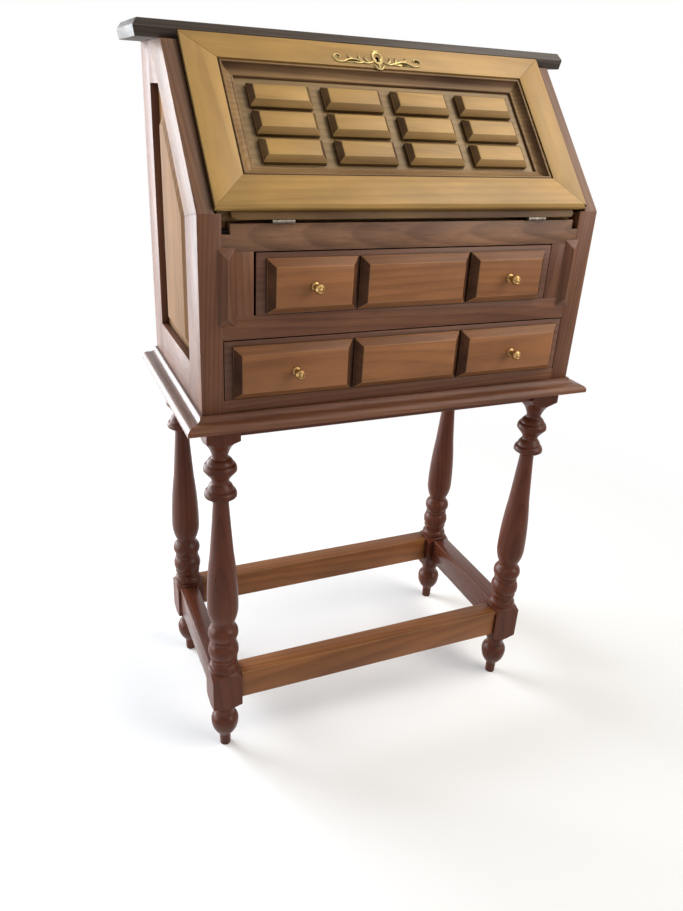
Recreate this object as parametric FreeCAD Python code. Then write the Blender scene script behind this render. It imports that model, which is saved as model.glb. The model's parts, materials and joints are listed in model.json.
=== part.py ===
import FreeCAD, Part
import math
import os

Vector = FreeCAD.Vector

# Slant-front writing desk on a turned stand. Lengths are in millimetres.
# Pieces are drawn in the case's frame: x from the case's left face, y from its front face
# towards the back, z up from the floor. save() moves each piece to the part's own frame.

# Stand
leg_height = 553.0
leg_stock = 45.0
leg_inset_x = 27.5
leg_inset_y = 24.0
foot_height = 90.0
leg_block_height = 60.0
leg_top_block_height = 23.0
stretcher_thickness = 30.0
stretcher_height = 47.0
stretcher_bottom = 100.0
stretcher_setback = 4.0
apron_thickness = 18.0
apron_height = 18.0
apron_setback = 4.5
stand_board_thickness = 18.0

# Moulding round the foot of the case
moulding_reach = 23.0
moulding_lip = 5.0
moulding_step = 2.0
moulding_cove = 8.0
moulding_top_flat = 3.0

# Case
case_width = 550.0
case_depth = 290.0
case_height = 412.0
front_height = 238.0
top_depth = 130.7
side_thickness = 20.0
front_stile_thickness = 28.0
front_stile_width = 60.0
slanted_stile_width = 52.0
rear_stile_width = 53.0
side_top_rail_height = 48.0
side_bottom_rail_height = 50.0
back_thickness = 8.0
desk_floor_thickness = 11.0
desk_floor_setback = 19.5
front_rail_depth = 22.0
top_rail_height = 31.0
middle_rail_height = 28.5
bottom_rail_height = 16.5
dust_board_thickness = 12.0

# Raised panel in each side of the case
side_panel_recess = 10.0
side_panel_thickness = 6.0
side_panel_tongue = 6.0
side_field_height = 8.0
side_field_bevel = 12.0
side_field_front_margin = 32.0
side_field_slant_margin = 28.0
side_field_top_margin = 47.0
side_field_rear_margin = 39.0
side_field_bottom_margin = 21.0

# Top board
top_board_thickness = 20.0
top_side_overhang = 29.5
top_front_setback = 8.7
top_bevel_run = 5.5
top_bevel_drop = 8.0
top_undercut = 2.0

# Front of the case beside the upper drawer
drawer_post_width = 37.5
strip_width = 22.0
strip_height = 92.0
strip_ridge = 8.0
strip_hip = 12.0
strip_edge_inset = 22.0
strip_bottom_overlap = 12.0

# Drawers
lower_opening_height = 76.0
upper_opening_height = 75.0
drawer_side_gap = 1.0
upper_drawer_side_gap = 2.0
upper_drawer_offset = 1.0
drawer_top_gap = 1.5
drawer_front_thickness = 18.0
drawer_wall = 10.0
drawer_back_thickness = 8.0
drawer_back_gap = 2.0
drawer_wall_inset = 1.0
drawer_wall_drop = 8.0
drawer_bottom_thickness = 4.0
drawer_bottom_rise = 6.0
drawer_groove = 4.0
field_height = 13.0
field_plinth = 4.0
field_bevel_x = 9.0
field_bevel_z = 9.0
field_gap = 4.0
field_bottom_margin = 2.0
field_top_margin = 6.0
upper_field_margin = 12.0
upper_field_width = 115.0
lower_field_margin = 10.0
lower_field_width = 155.5
drawer_guide_width = 16.0
drawer_guide_height = 20.0

# Brass knobs
knob_length = 20.0
knob_radius = 6.5
knob_rose_radius = 5.2
knob_rose_thickness = 2.0
knob_neck_radius = 3.2
knob_stem_radius = 2.0
knob_nut_radius = 5.0
knob_nut_thickness = 2.5

# Fall front, measured up the slope from the corner of the case
fall_side_gap = 1.0
fall_thickness = 20.0
fall_proud = 7.0
fall_lip_thickness = 8.0
fall_lip_start = 4.0
fall_top_reach = 7.1
fall_stile_width = 40.0
fall_bottom_rail_width = 42.0
fall_top_rail_width = 35.0
fall_tongue_inset = 19.0
fall_tongue_drop = 11.0
fall_tongue_corner = 5.0
fall_top_rebate = 5.0
fall_panel_thickness = 8.0
fall_panel_tongue = 6.0
fall_panel_tongue_thickness = 4.0

# Moulding sunk into the fall's frame, and the blocks on its panel
sunk_width = 18.0
sunk_bead = 4.0
sunk_quirk = 1.2
sunk_foot = 3.5
sunk_foot_height = 3.0
block_columns = 4
block_rows = 3
block_height = 11.5
block_plinth = 5.5
block_bevel = 6.5
block_side_margin = 12.5
block_column_gap = 16.0
block_bottom_margin = 4.5
block_top_margin = 11.0
block_row_gap = 5.7

# Hinges of the fall
hinge_length = 27.0
hinge_inset = 100.0
hinge_gap = 5.0
hinge_leaf_thickness = 1.2
hinge_leaf_depth = 15.0
hinge_barrel_radius = 2.3
hinge_pin_radius = 1.2
hinge_pin_clearance = 0.06
hinge_pivot_reach = 2.5
hinge_knuckle_gap = 0.15
hinge_knuckles = 5

# Lock and its plate
lock_offset = 1.0
lock_width = 56.0
lock_height = 23.0
lock_depth = 9.0
bolt_width = 22.0
bolt_thickness = 3.0
bolt_length = 20.0
bolt_travel = 12.0
bolt_clearance = 0.15
bolt_face_wall = 1.5
strike_clearance = 0.8
keyhole_radius = 2.6
keyhole_slot_width = 2.6
keyhole_slot_length = 7.0
keyhole_drop = 3.0
plate_width = 126.0
plate_height = 32.0
plate_thickness = 1.6
plate_shield_width = 30.0
plate_shield_thickness = 3.0
plate_top_margin = 7.0

# Steel slides that carry the open fall
notch_width = 10.0
slide_side_gap = 0.9
slide_thickness = 3.0
slide_rear_gap = 41.0
slide_setback = 6.0
slide_hole_radius = 1.6
slide_hole_inset = 6.0
slide_guide_wall = 6.0
slide_guide_floor = 10.0

# Inside the desk
stop_thickness = 24.0
stop_depth = 14.0
stop_side_inset = 60.0
gallery_depth = 97.0
gallery_board = 6.0
gallery_drawer_opening = 53.0
gallery_upper_height = 72.0
small_drawer_width = 150.0
small_drawer_depth = 86.0
small_drawer_wall = 5.0
small_drawer_front = 8.0
small_drawer_gap = 0.6
small_knob_radius = 5.0
small_knob_length = 11.0
gallery_upper_dividers = 3

# Clearances and cutting
sliding_gap = 0.3
rest_gap = 0.3
overrun = 5.0

# Turned shapes: height shares of the turned stretch, radius shares of half the leg's stock.
# A row is the end of a straight line, or the middle and the end of an arc.
foot_start_shares = (0.0, 0.36)
foot_shares = [
    [(0.19, 0.38)],
    [(0.22, 0.40), (0.25, 0.47)],
    [(0.38, 0.80), (0.53, 0.92)],
    [(0.63, 0.86), (0.69, 0.66)],
    [(0.74, 0.62), (0.80, 0.66)],
    [(0.90, 0.84), (1.00, 1.42)],
]
leg_start_shares = (0.0, 0.940)
leg_shares = [
    [(0.012, 0.970), (0.026, 0.900)],
    [(0.030, 0.820)],
    [(0.038, 0.800), (0.046, 0.840)],
    [(0.056, 0.900), (0.065, 0.860)],
    [(0.092, 0.995), (0.129, 0.800)],
    [(0.139, 0.850), (0.148, 0.800)],
    [(0.176, 0.985), (0.207, 0.760)],
    [(0.218, 0.710), (0.231, 0.764)],
    [(0.256, 0.907), (0.300, 0.998)],
    [(0.421, 0.930), (0.534, 0.742)],
    [(0.629, 0.618), (0.737, 0.489)],
    [(0.753, 0.489)],
    [(0.774, 0.978)],
    [(0.785, 0.970), (0.795, 0.890)],
    [(0.798, 0.800)],
    [(0.812, 0.720), (0.824, 0.560)],
    [(0.834, 0.530), (0.845, 0.600)],
    [(0.874, 0.996)],
    [(0.885, 0.985), (0.896, 0.900)],
    [(0.899, 0.810)],
    [(0.911, 0.720), (0.921, 0.530)],
    [(0.929, 0.484), (0.940, 0.516)],
    [(0.974, 0.822), (1.000, 1.420)],
]
block_chamfer_share = 0.14

# Lock plate's wing: shares of half its width and of half its height.
wing_start_shares = (0.16, 0.30)
wing_shares = [
    [(0.28, 0.02), (0.42, 0.22)],
    [(0.50, 0.48), (0.60, 0.30)],
    [(0.70, 0.10), (0.80, 0.34)],
    [(0.88, 0.62), (1.00, 0.52)],
    [(0.93, 0.30), (0.95, 0.02)],
    [(0.86, -0.26), (0.74, -0.22)],
    [(0.62, -0.34), (0.50, -0.20)],
    [(0.34, -0.50), (0.16, -0.46)],
]

# Heights and places worked out from the sizes above
case_base = leg_height + stand_board_thickness
kink_z = case_base + front_height
ceiling_z = case_base + case_height
slope_rise = case_height - front_height
slope_run = case_depth - top_depth
slope_length = math.hypot(slope_rise, slope_run)
slope_angle = math.atan2(slope_rise, slope_run)
slope_sin = math.sin(slope_angle)
slope_cos = math.cos(slope_angle)
back_y = case_depth - back_thickness
inner_left = side_thickness
inner_right = case_width - side_thickness
rail_left = front_stile_thickness
rail_right = case_width - front_stile_thickness
rail_top_z = kink_z - desk_floor_thickness
upper_top_z = rail_top_z - top_rail_height
upper_bottom_z = upper_top_z - upper_opening_height
lower_bottom_z = case_base + bottom_rail_height
lower_top_z = lower_bottom_z + lower_opening_height
upper_left = rail_left + drawer_post_width
upper_right = rail_right - drawer_post_width
hinge_z = rail_top_z + hinge_gap / 2
fall_left = side_thickness + fall_side_gap
fall_right = case_width - fall_left
fall_end = slope_length + fall_top_reach
panel_left = fall_left + fall_stile_width
panel_right = fall_right - fall_stile_width
panel_start = fall_lip_start + fall_bottom_rail_width
panel_end = fall_end - fall_top_rail_width
pivot_outward = hinge_pivot_reach * slope_sin + (hinge_z - kink_z) * slope_cos
slide_top = hinge_z - (fall_proud - pivot_outward) - rest_gap
slide_bottom = slide_top - slide_thickness
slot_floor = slide_bottom - sliding_gap
front_reach = field_height + knob_length
origin_shift = Vector(-case_width / 2, -(case_depth - front_reach) / 2, 0)


def save(name, shape):
    """Write one piece, or one group of like pieces, as a STEP file in the part's frame."""
    moved = shape.copy()
    moved.translate(origin_shift)
    moved.exportStep("parts/" + name + ".step")


def group(shapes):
    """Join separate solids in one compound."""
    return Part.makeCompound(shapes)


def box(x0, x1, y0, y1, z0, z1):
    """Return the block between two corners."""
    return Part.makeBox(x1 - x0, y1 - y0, z1 - z0, Vector(x0, y0, z0))


def mirrored(shape):
    """Return the same piece for the other side of the desk."""
    return shape.mirror(Vector(case_width / 2, 0, 0), Vector(1, 0, 0))


def flat_face(start, rows, place):
    """Return a face from an outline of lines and arcs; place turns a pair into a point."""
    edges = []
    last = place(*start)
    for row in rows:
        end = place(*row[-1])
        if len(row) == 1:
            edges.append(Part.makeLine(last, end))
        else:
            edges.append(Part.Arc(last, place(*row[0]), end).toShape())
        last = end
    if not last.isEqual(place(*start), 0):
        edges.append(Part.makeLine(last, place(*start)))
    return Part.Face(Part.Wire(edges))


def corners(points):
    """Turn a list of corner pairs into the start and the rows of flat_face."""
    return points[0], [[point] for point in points[1:]]


def prism_x(points, x0, x1):
    """Extrude an outline of (y, z) pairs from x0 to x1."""
    face = flat_face(*corners(points), lambda y, z: Vector(x0, y, z))
    return face.extrude(Vector(x1 - x0, 0, 0))


def prism_y(points, y0, y1):
    """Extrude an outline of (x, z) pairs from y0 to y1."""
    face = flat_face(*corners(points), lambda x, z: Vector(x, y0, z))
    return face.extrude(Vector(0, y1 - y0, 0))


def prism_z(points, z0, z1):
    """Extrude an outline of (x, y) pairs from z0 to z1."""
    face = flat_face(*corners(points), lambda x, y: Vector(x, y, z0))
    return face.extrude(Vector(0, 0, z1 - z0))


def cross_lines(first, second):
    """Return where two lines meet; a line is a point and a direction, as pairs."""
    (ax, ay), (ux, uy) = first
    (bx, by), (vx, vy) = second
    along = ((bx - ax) * vy - (by - ay) * vx) / (ux * vy - uy * vx)
    return ax + along * ux, ay + along * uy


def inset(points, distances):
    """Move each edge of a convex outline, listed anticlockwise, inwards by its distance."""
    lines = []
    count = len(points)
    for index in range(count):
        ax, ay = points[index]
        bx, by = points[(index + 1) % count]
        length = math.hypot(bx - ax, by - ay)
        ux = (bx - ax) / length
        uy = (by - ay) / length
        shift = distances[index]
        lines.append(((ax - uy * shift, ay + ux * shift), (ux, uy)))
    return [cross_lines(lines[index - 1], lines[index]) for index in range(count)]


def raised_block(width, height, depth, bevel_x, bevel_z, plinth):
    """Return a bevelled block on a thin plinth; it stands on y = 0 and rises to y = -depth."""
    base = Part.makeBox(width, plinth, height)
    top = Part.makeWedge(0, plinth, 0, bevel_z, bevel_x,
                         width, depth, height, height - bevel_z, width - bevel_x)
    block = base.fuse(top).removeSplitter()
    return block.mirror(Vector(0, 0, 0), Vector(0, 1, 0))


def on_fall(shape):
    """Move a piece drawn upright, front towards -y and corner line at z = 0, on to the slope."""
    placed = shape.copy()
    placed.rotate(Vector(0, 0, 0), Vector(1, 0, 0), math.degrees(slope_angle) - 90.0)
    placed.translate(Vector(0, 0, kink_z))
    return placed


def slope_y(outward, z):
    """Return y where the line at this distance outside the slope passes height z."""
    along = (z - kink_z - outward * slope_cos) / slope_sin
    return along * slope_cos - outward * slope_sin


def slope_z(outward, y):
    """Return z where the line at this distance outside the slope passes depth y."""
    along = (y + outward * slope_sin) / slope_cos
    return kink_z + along * slope_sin + outward * slope_cos


# Stand

def turned_outline(start, rows, radius, z0, length):
    """Return real (radius, z) rows from shares of a turned stretch."""
    def real(pair):
        return pair[1] * radius, z0 + pair[0] * length
    return real(start), [[real(pair) for pair in row] for row in rows]


def leg():
    """Return one leg about the z axis: foot, square block, baluster with rings, top block."""
    half = leg_stock / 2
    block_top = foot_height + leg_block_height
    turned_top = leg_height - leg_top_block_height
    widest = leg_shares[-1][-1][1] * half
    foot_start, foot_rows = turned_outline(foot_start_shares, foot_shares, half, 0, foot_height)
    leg_start, leg_rows = turned_outline(leg_start_shares, leg_shares, half,
                                         block_top, turned_top - block_top)
    rows = [[foot_start]] + foot_rows
    rows.append([(widest, block_top - block_chamfer_share * leg_block_height)])
    rows.append([leg_start])
    rows += leg_rows
    rows.append([(widest, leg_height)])
    rows.append([(0, leg_height)])
    outline = flat_face((0, 0), rows, lambda r, z: Vector(r, 0, z))
    turned = outline.revolve(Vector(0, 0, 0), Vector(0, 0, 1), 360)
    return turned.common(box(-half, half, -half, half, 0, leg_height))


leg_left = leg_inset_x
leg_right = case_width - leg_inset_x
leg_front = leg_inset_y
leg_rear = case_depth - leg_inset_y
leg_half = leg_stock / 2


def make_legs():
    """Write the four legs."""
    pattern = leg()
    places = {
        "leg_front_left": (leg_left, leg_front),
        "leg_front_right": (leg_right, leg_front),
        "leg_rear_left": (leg_left, leg_rear),
        "leg_rear_right": (leg_right, leg_rear),
    }
    for name, (x, y) in places.items():
        placed = pattern.copy()
        placed.translate(Vector(x, y, 0))
        save(name, placed)


def ring_of_bars(thickness, setback, z0, z1):
    """Return front, rear, left and right bars between the legs' square blocks."""
    near = leg_front - leg_half + setback
    far = leg_rear + leg_half - setback
    side = leg_left - leg_half + setback
    inner_x = leg_left + leg_half
    inner_y = leg_front + leg_half
    front = box(inner_x, case_width - inner_x, near, near + thickness, z0, z1)
    rear = box(inner_x, case_width - inner_x, far - thickness, far, z0, z1)
    left = box(side, side + thickness, inner_y, leg_rear - leg_half, z0, z1)
    return front, rear, left, mirrored(left)


def make_stand():
    """Write the stretchers, the aprons and the board under the case."""
    front, rear, left, right = ring_of_bars(stretcher_thickness, stretcher_setback,
                                            stretcher_bottom, stretcher_bottom + stretcher_height)
    save("stretcher_front", front)
    save("stretcher_rear", rear)
    save("stretchers_side", group([left, right]))
    front, rear, left, right = ring_of_bars(apron_thickness, apron_setback,
                                            leg_height - apron_height, leg_height)
    save("aprons_long", group([front, rear]))
    save("aprons_side", group([left, right]))
    save("stand_board", box(0, case_width, 0, case_depth, leg_height, case_base))


def moulding_outline(place):
    """Return the base moulding's section: flat, cove, step and a round nose over a lip."""
    top = stand_board_thickness
    step_out = moulding_top_flat + moulding_cove
    step_down = top - moulding_cove
    nose_in = step_out + moulding_step
    nose_run = moulding_reach - nose_in
    nose_drop = step_down - moulding_lip
    diagonal = math.sqrt(0.5)
    rows = [
        [(0, top)],
        [(moulding_top_flat, top)],
        [(step_out - moulding_cove * diagonal, step_down + moulding_cove * (1 - diagonal)),
         (step_out, step_down)],
        [(nose_in, step_down)],
        [(nose_in + nose_run * diagonal, moulding_lip + nose_drop * diagonal),
         (moulding_reach, moulding_lip)],
        [(moulding_reach, 0)],
    ]
    return flat_face((0, 0), rows, place)


def make_base_moulding():
    """Write the moulding round the foot of the case, mitred at the front corners."""
    section = moulding_outline(lambda out, up: Vector(-moulding_reach, -out, leg_height + up))
    front = section.extrude(Vector(case_width + 2 * moulding_reach, 0, 0))
    trapezoid = [(0, 0), (case_width, 0), (case_width + moulding_reach, -moulding_reach),
                 (-moulding_reach, -moulding_reach)]
    front = front.common(prism_z(trapezoid, leg_height, case_base))
    save("base_moulding_front", front)
    section = moulding_outline(lambda out, up: Vector(-out, -moulding_reach, leg_height + up))
    left = section.extrude(Vector(0, case_depth + moulding_reach, 0))
    trapezoid = [(0, 0), (0, case_depth), (-moulding_reach, case_depth),
                 (-moulding_reach, -moulding_reach)]
    left = left.common(prism_z(trapezoid, leg_height, case_base))
    save("base_moulding_sides", group([left, mirrored(left)]))


# Case

def side_opening():
    """Return the opening of a side frame as (y, z) corners, anticlockwise from low front."""
    low = case_base + side_bottom_rail_height
    high = ceiling_z - side_top_rail_height
    rear = case_depth - rear_stile_width
    return [
        (front_stile_width, low),
        (rear, low),
        (rear, high),
        (slope_y(-slanted_stile_width, high), high),
        (front_stile_width, slope_z(-slanted_stile_width, front_stile_width)),
    ]


def side_panel():
    """Return the left side's panel: a thin board in the frame's grooves and its raised field."""
    opening = side_opening()
    tongue = inset(opening, [-side_panel_tongue] * len(opening))
    inner_x = side_panel_recess + side_panel_thickness
    board = prism_x(tongue, side_panel_recess, inner_x)
    margins = [side_field_bottom_margin, side_field_rear_margin, side_field_top_margin,
               side_field_slant_margin, side_field_front_margin]
    face = inset(opening, margins)
    foot = inset(face, [-side_field_bevel] * len(face))
    wires = []
    for points, x in ((foot, side_panel_recess), (face, side_panel_recess - side_field_height)):
        ring = [Vector(x, y, z) for y, z in points]
        wires.append(Part.makePolygon(ring + ring[:1]))
    field = Part.makeLoft(wires, True, True)
    return board, field


def make_sides():
    """Write both side frames and their raised panels."""
    opening = side_opening()
    low, high = opening[0][1], opening[2][1]
    rear = opening[1][0]
    elbow = opening[4]
    top_inner = slope_y(-slanted_stile_width, ceiling_z)
    board, field = side_panel()
    front_stile = prism_x([(0, case_base), (front_stile_width, case_base), elbow, (0, kink_z)],
                          0, front_stile_thickness)
    slanted_stile = prism_x([(0, kink_z), elbow, (top_inner, ceiling_z), (slope_run, ceiling_z)],
                            0, side_thickness)
    rear_stile = box(0, side_thickness, rear, case_depth, case_base, ceiling_z)
    top_rail = prism_x([opening[3], opening[2], (rear, ceiling_z), (top_inner, ceiling_z)],
                       0, side_thickness)
    bottom_rail = box(0, side_thickness, front_stile_width, rear, case_base, low)
    pieces = {
        "front_stile": front_stile.cut(board),
        "slanted_stile": slanted_stile.cut(board),
        "rear_stile": rear_stile.cut(board),
        "rails": group([top_rail.cut(board), bottom_rail.cut(board)]),
        "panel": board.fuse(field).removeSplitter(),
    }
    for name, piece in pieces.items():
        save("side_left_" + name, piece)
        save("side_right_" + name, mirrored(piece))


def inner_board(y0, z0, z1):
    """Return a board across the inside of the case, cut round the thicker front stiles."""
    board = box(inner_left, inner_right, y0, back_y, z0, z1)
    corner = box(inner_left - overrun, front_stile_thickness, -overrun, front_stile_width,
                 z0 - overrun, z1 + overrun)
    return board.cut(corner).cut(mirrored(corner))


def rail_notch():
    """Return the space cut out of the top rail's left end for a support slide."""
    return box(rail_left, rail_left + notch_width, -overrun, front_rail_depth + overrun,
               slot_floor, rail_top_z + overrun)


def make_case():
    """Write the boards and rails that join the two sides."""
    save("case_bottom", inner_board(front_rail_depth, case_base, lower_bottom_z))
    save("dust_board", inner_board(front_rail_depth, upper_bottom_z - dust_board_thickness,
                                   upper_bottom_z))
    save("desk_floor", inner_board(desk_floor_setback, rail_top_z, kink_z))
    save("back_panel", box(inner_left, inner_right, back_y, case_depth, case_base, ceiling_z))
    top_rail = box(rail_left, rail_right, 0, front_rail_depth, upper_top_z, rail_top_z)
    notch = rail_notch()
    save("rail_top", top_rail.cut(notch).cut(mirrored(notch)))
    save("rail_middle", box(rail_left, rail_right, 0, front_rail_depth,
                            lower_top_z, upper_bottom_z))
    save("rail_bottom", box(rail_left, rail_right, 0, front_rail_depth,
                            case_base, lower_bottom_z))
    post = box(rail_left, upper_left, 0, front_rail_depth, upper_bottom_z, upper_top_z)
    save("drawer_posts", group([post, mirrored(post)]))


def make_strips():
    """Write the two ridged strips planted beside the upper drawer."""
    middle = strip_width / 2
    rail = strip_edge_inset
    z0 = upper_bottom_z - strip_bottom_overlap
    z1 = z0 + strip_height
    foot = [Vector(rail, 0, z0), Vector(rail + strip_width, 0, z0),
            Vector(rail + strip_width, 0, z1), Vector(rail, 0, z1)]
    low = Vector(rail + middle, -strip_ridge, z0 + strip_hip)
    high = Vector(rail + middle, -strip_ridge, z1 - strip_hip)
    rings = [
        foot,
        [foot[0], foot[1], low],
        [foot[1], foot[2], high, low],
        [foot[2], foot[3], high],
        [foot[3], foot[0], low, high],
    ]
    faces = [Part.Face(Part.makePolygon(ring + ring[:1])) for ring in rings]
    strip = Part.makeSolid(Part.makeShell(faces))
    save("planted_strips", group([strip, mirrored(strip)]))


def make_top_board():
    """Write the top board, bevelled at the front and both ends, with the bolt's mortise."""
    top = ceiling_z + top_board_thickness
    low_y = slope_run + top_front_setback
    nose_y = low_y - top_undercut
    across = [(low_y, ceiling_z), (case_depth, ceiling_z), (case_depth, top),
              (nose_y + top_bevel_run, top), (nose_y, top - top_bevel_drop)]
    left = -top_side_overhang
    right = case_width + top_side_overhang
    along = [(left + top_undercut, ceiling_z), (right - top_undercut, ceiling_z),
             (right, top - top_bevel_drop), (right - top_bevel_run, top),
             (left + top_bevel_run, top), (left, top - top_bevel_drop)]
    board = prism_x(across, left, right).common(prism_y(along, nose_y, case_depth))
    save("top_board", board.cut(bolt_mortise()))


# Guides of what slides

def make_guides():
    """Write the strips beside the drawers and the grooved blocks of the support slides."""
    upper = box(upper_left - drawer_guide_width, upper_left, front_rail_depth, back_y,
                upper_bottom_z, upper_bottom_z + drawer_guide_height)
    lower = box(inner_left, rail_left, front_stile_width, back_y,
                lower_bottom_z, lower_bottom_z + drawer_guide_height)
    block = box(inner_left, rail_left + notch_width + slide_guide_wall,
                front_rail_depth, back_y, slot_floor - slide_guide_floor, rail_top_z)
    stile = box(inner_left - overrun, rail_left, 0, front_stile_width,
                slot_floor - slide_guide_floor - overrun, rail_top_z + overrun)
    slot = box(rail_left, rail_left + notch_width, 0, case_depth,
               slot_floor, slide_top + sliding_gap)
    block = block.cut(stile).cut(slot)
    pieces = [upper, lower, block]
    save("guides", group(pieces + [mirrored(piece) for piece in pieces]))


def make_slides():
    """Write the two flat steel slides that draw out under the open fall."""
    x0 = rail_left + slide_side_gap
    x1 = rail_left + notch_width - slide_side_gap
    bar = box(x0, x1, slide_setback, back_y - slide_rear_gap, slide_bottom, slide_top)
    hole = Part.makeCylinder(slide_hole_radius, slide_thickness + 2 * overrun,
                             Vector((x0 + x1) / 2, slide_setback + slide_hole_inset,
                                    slide_bottom - overrun))
    bar = bar.cut(hole)
    save("support_slide_left", bar)
    save("support_slide_right", mirrored(bar))


# Drawers

def knob(x, y, z, reach, radius, rose_radius, rose_thickness, neck_radius):
    """Return a turned knob that stands out of the plane y towards -y."""
    rose_edge = rose_thickness / 2
    ball_middle = reach - radius
    ball_start = ball_middle - math.sqrt(radius ** 2 - neck_radius ** 2)
    rows = [
        [(rose_radius, 0)],
        [(rose_radius, rose_edge)],
        [(rose_radius - rose_edge, rose_thickness)],
        [(neck_radius, rose_thickness)],
        [(neck_radius, ball_start)],
        [(radius, ball_middle), (0, reach)],
    ]
    outline = flat_face((0, 0), rows, lambda r, out: Vector(x + r, y - out, z))
    return outline.revolve(Vector(x, y, z), Vector(0, -1, 0), 360)


def drawer(name, x0, x1, z0, z1, field_margin, field_width):
    """Write one drawer: front, box, bottom, raised fields and brass knobs."""
    box_x0 = x0 + drawer_wall_inset
    box_x1 = x1 - drawer_wall_inset
    box_z1 = z1 - drawer_wall_drop
    box_y1 = back_y - drawer_back_gap
    bottom_z = z0 + drawer_bottom_rise
    bottom = box(box_x0 + drawer_wall - drawer_groove, box_x1 - drawer_wall + drawer_groove,
                 drawer_front_thickness - drawer_groove, box_y1,
                 bottom_z, bottom_z + drawer_bottom_thickness)
    front = box(x0, x1, 0, drawer_front_thickness, z0, z1).cut(bottom)
    left = box(box_x0, box_x0 + drawer_wall, drawer_front_thickness, box_y1, z0, box_z1)
    right = box(box_x1 - drawer_wall, box_x1, drawer_front_thickness, box_y1, z0, box_z1)
    back = box(box_x0 + drawer_wall, box_x1 - drawer_wall, box_y1 - drawer_back_thickness, box_y1,
               bottom_z + drawer_bottom_thickness, box_z1)
    middle_width = x1 - x0 - 2 * field_margin - 2 * field_gap - 2 * field_width
    tall = z1 - z0 - field_bottom_margin - field_top_margin
    fields = []
    knobs = []
    x = x0 + field_margin
    for width in (field_width, middle_width, field_width):
        field = raised_block(width, tall, field_height, field_bevel_x, field_bevel_z,
                             field_plinth)
        field.translate(Vector(x, 0, z0 + field_bottom_margin))
        if width == field_width:
            knob_x = x + width / 2
            knob_z = z0 + field_bottom_margin + tall / 2
            stem_length = field_height + drawer_front_thickness + knob_nut_thickness
            stem = Part.makeCylinder(knob_stem_radius, stem_length,
                                     Vector(knob_x, -field_height, knob_z), Vector(0, 1, 0))
            nut = Part.makeCylinder(knob_nut_radius, knob_nut_thickness,
                                    Vector(knob_x, drawer_front_thickness, knob_z),
                                    Vector(0, 1, 0)).cut(stem)
            head = knob(knob_x, -field_height, knob_z, knob_length, knob_radius,
                        knob_rose_radius, knob_rose_thickness, knob_neck_radius)
            knobs += [head.fuse(stem).removeSplitter(), nut]
            field = field.cut(stem)
            front = front.cut(stem)
        fields.append(field)
        x += width + field_gap
    save(name + "_front", front)
    save(name + "_box", group([left.cut(bottom), right.cut(bottom), back]))
    save(name + "_bottom", bottom)
    save(name + "_fields", group(fields))
    save(name + "_knobs", group(knobs))


def make_drawers():
    """Write both drawers of the case."""
    drawer("drawer_upper",
           upper_left + upper_drawer_side_gap + upper_drawer_offset,
           upper_right - upper_drawer_side_gap + upper_drawer_offset,
           upper_bottom_z + sliding_gap, upper_top_z - drawer_top_gap,
           upper_field_margin, upper_field_width)
    drawer("drawer_lower",
           rail_left + drawer_side_gap, rail_right - drawer_side_gap,
           lower_bottom_z + sliding_gap, lower_top_z - drawer_top_gap,
           lower_field_margin, lower_field_width)


# Fall front. Its pieces are drawn upright: x across, z up the slope, front face towards -y.

fall_front_y = -fall_proud
fall_lip_y = fall_front_y + fall_lip_thickness
fall_inner_y = fall_front_y + fall_thickness
fall_panel_y = fall_inner_y - fall_panel_thickness
tongue_left = fall_left + fall_tongue_inset
tongue_right = case_width - tongue_left
tongue_low = fall_lip_start - fall_tongue_drop
tongue_high = fall_end - fall_top_rebate
lock_x = case_width / 2 - lock_offset
lock_high = tongue_high
keyhole_z = fall_end - plate_top_margin - plate_height / 2


def mitre_at(x, start, end):
    """Return the height of the mitre line through two corners at x."""
    share = (x - start[0]) / (end[0] - start[0])
    return start[1] + share * (end[1] - start[1])


def fall_panel():
    """Return the fall's panel with its tongue."""
    middle = (fall_panel_y + fall_inner_y) / 2
    board = box(panel_left, panel_right, fall_panel_y, fall_inner_y, panel_start, panel_end)
    tongue = box(panel_left - fall_panel_tongue, panel_right + fall_panel_tongue,
                 middle - fall_panel_tongue_thickness / 2, middle + fall_panel_tongue_thickness / 2,
                 panel_start - fall_panel_tongue, panel_end + fall_panel_tongue)
    return board.fuse(tongue).removeSplitter()


def keyhole(y0, y1):
    """Return the keyhole's space: a round hole with a slot below it."""
    z = keyhole_z + keyhole_drop
    hole = Part.makeCylinder(keyhole_radius, y1 - y0, Vector(lock_x, y0, z), Vector(0, 1, 0))
    slot = box(lock_x - keyhole_slot_width / 2, lock_x + keyhole_slot_width / 2, y0, y1,
               z - keyhole_slot_length, z)
    return hole.fuse(slot)


def lock_body():
    """Return the lock case's outer block."""
    return box(lock_x - lock_width / 2, lock_x + lock_width / 2,
               fall_inner_y - lock_depth, fall_inner_y,
               lock_high - lock_height, lock_high)


def bolt(travel, clearance):
    """Return the lock's bolt, moved up by travel and grown by a clearance."""
    y1 = fall_inner_y - bolt_face_wall
    return box(lock_x - bolt_width / 2 - clearance, lock_x + bolt_width / 2 + clearance,
               y1 - bolt_thickness - clearance, y1 + clearance,
               lock_high - bolt_length - clearance, lock_high + travel + clearance)


def bolt_mortise():
    """Return the space that the thrown bolt enters in the top board, placed in the case."""
    return on_fall(bolt(bolt_travel, strike_clearance))


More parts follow.
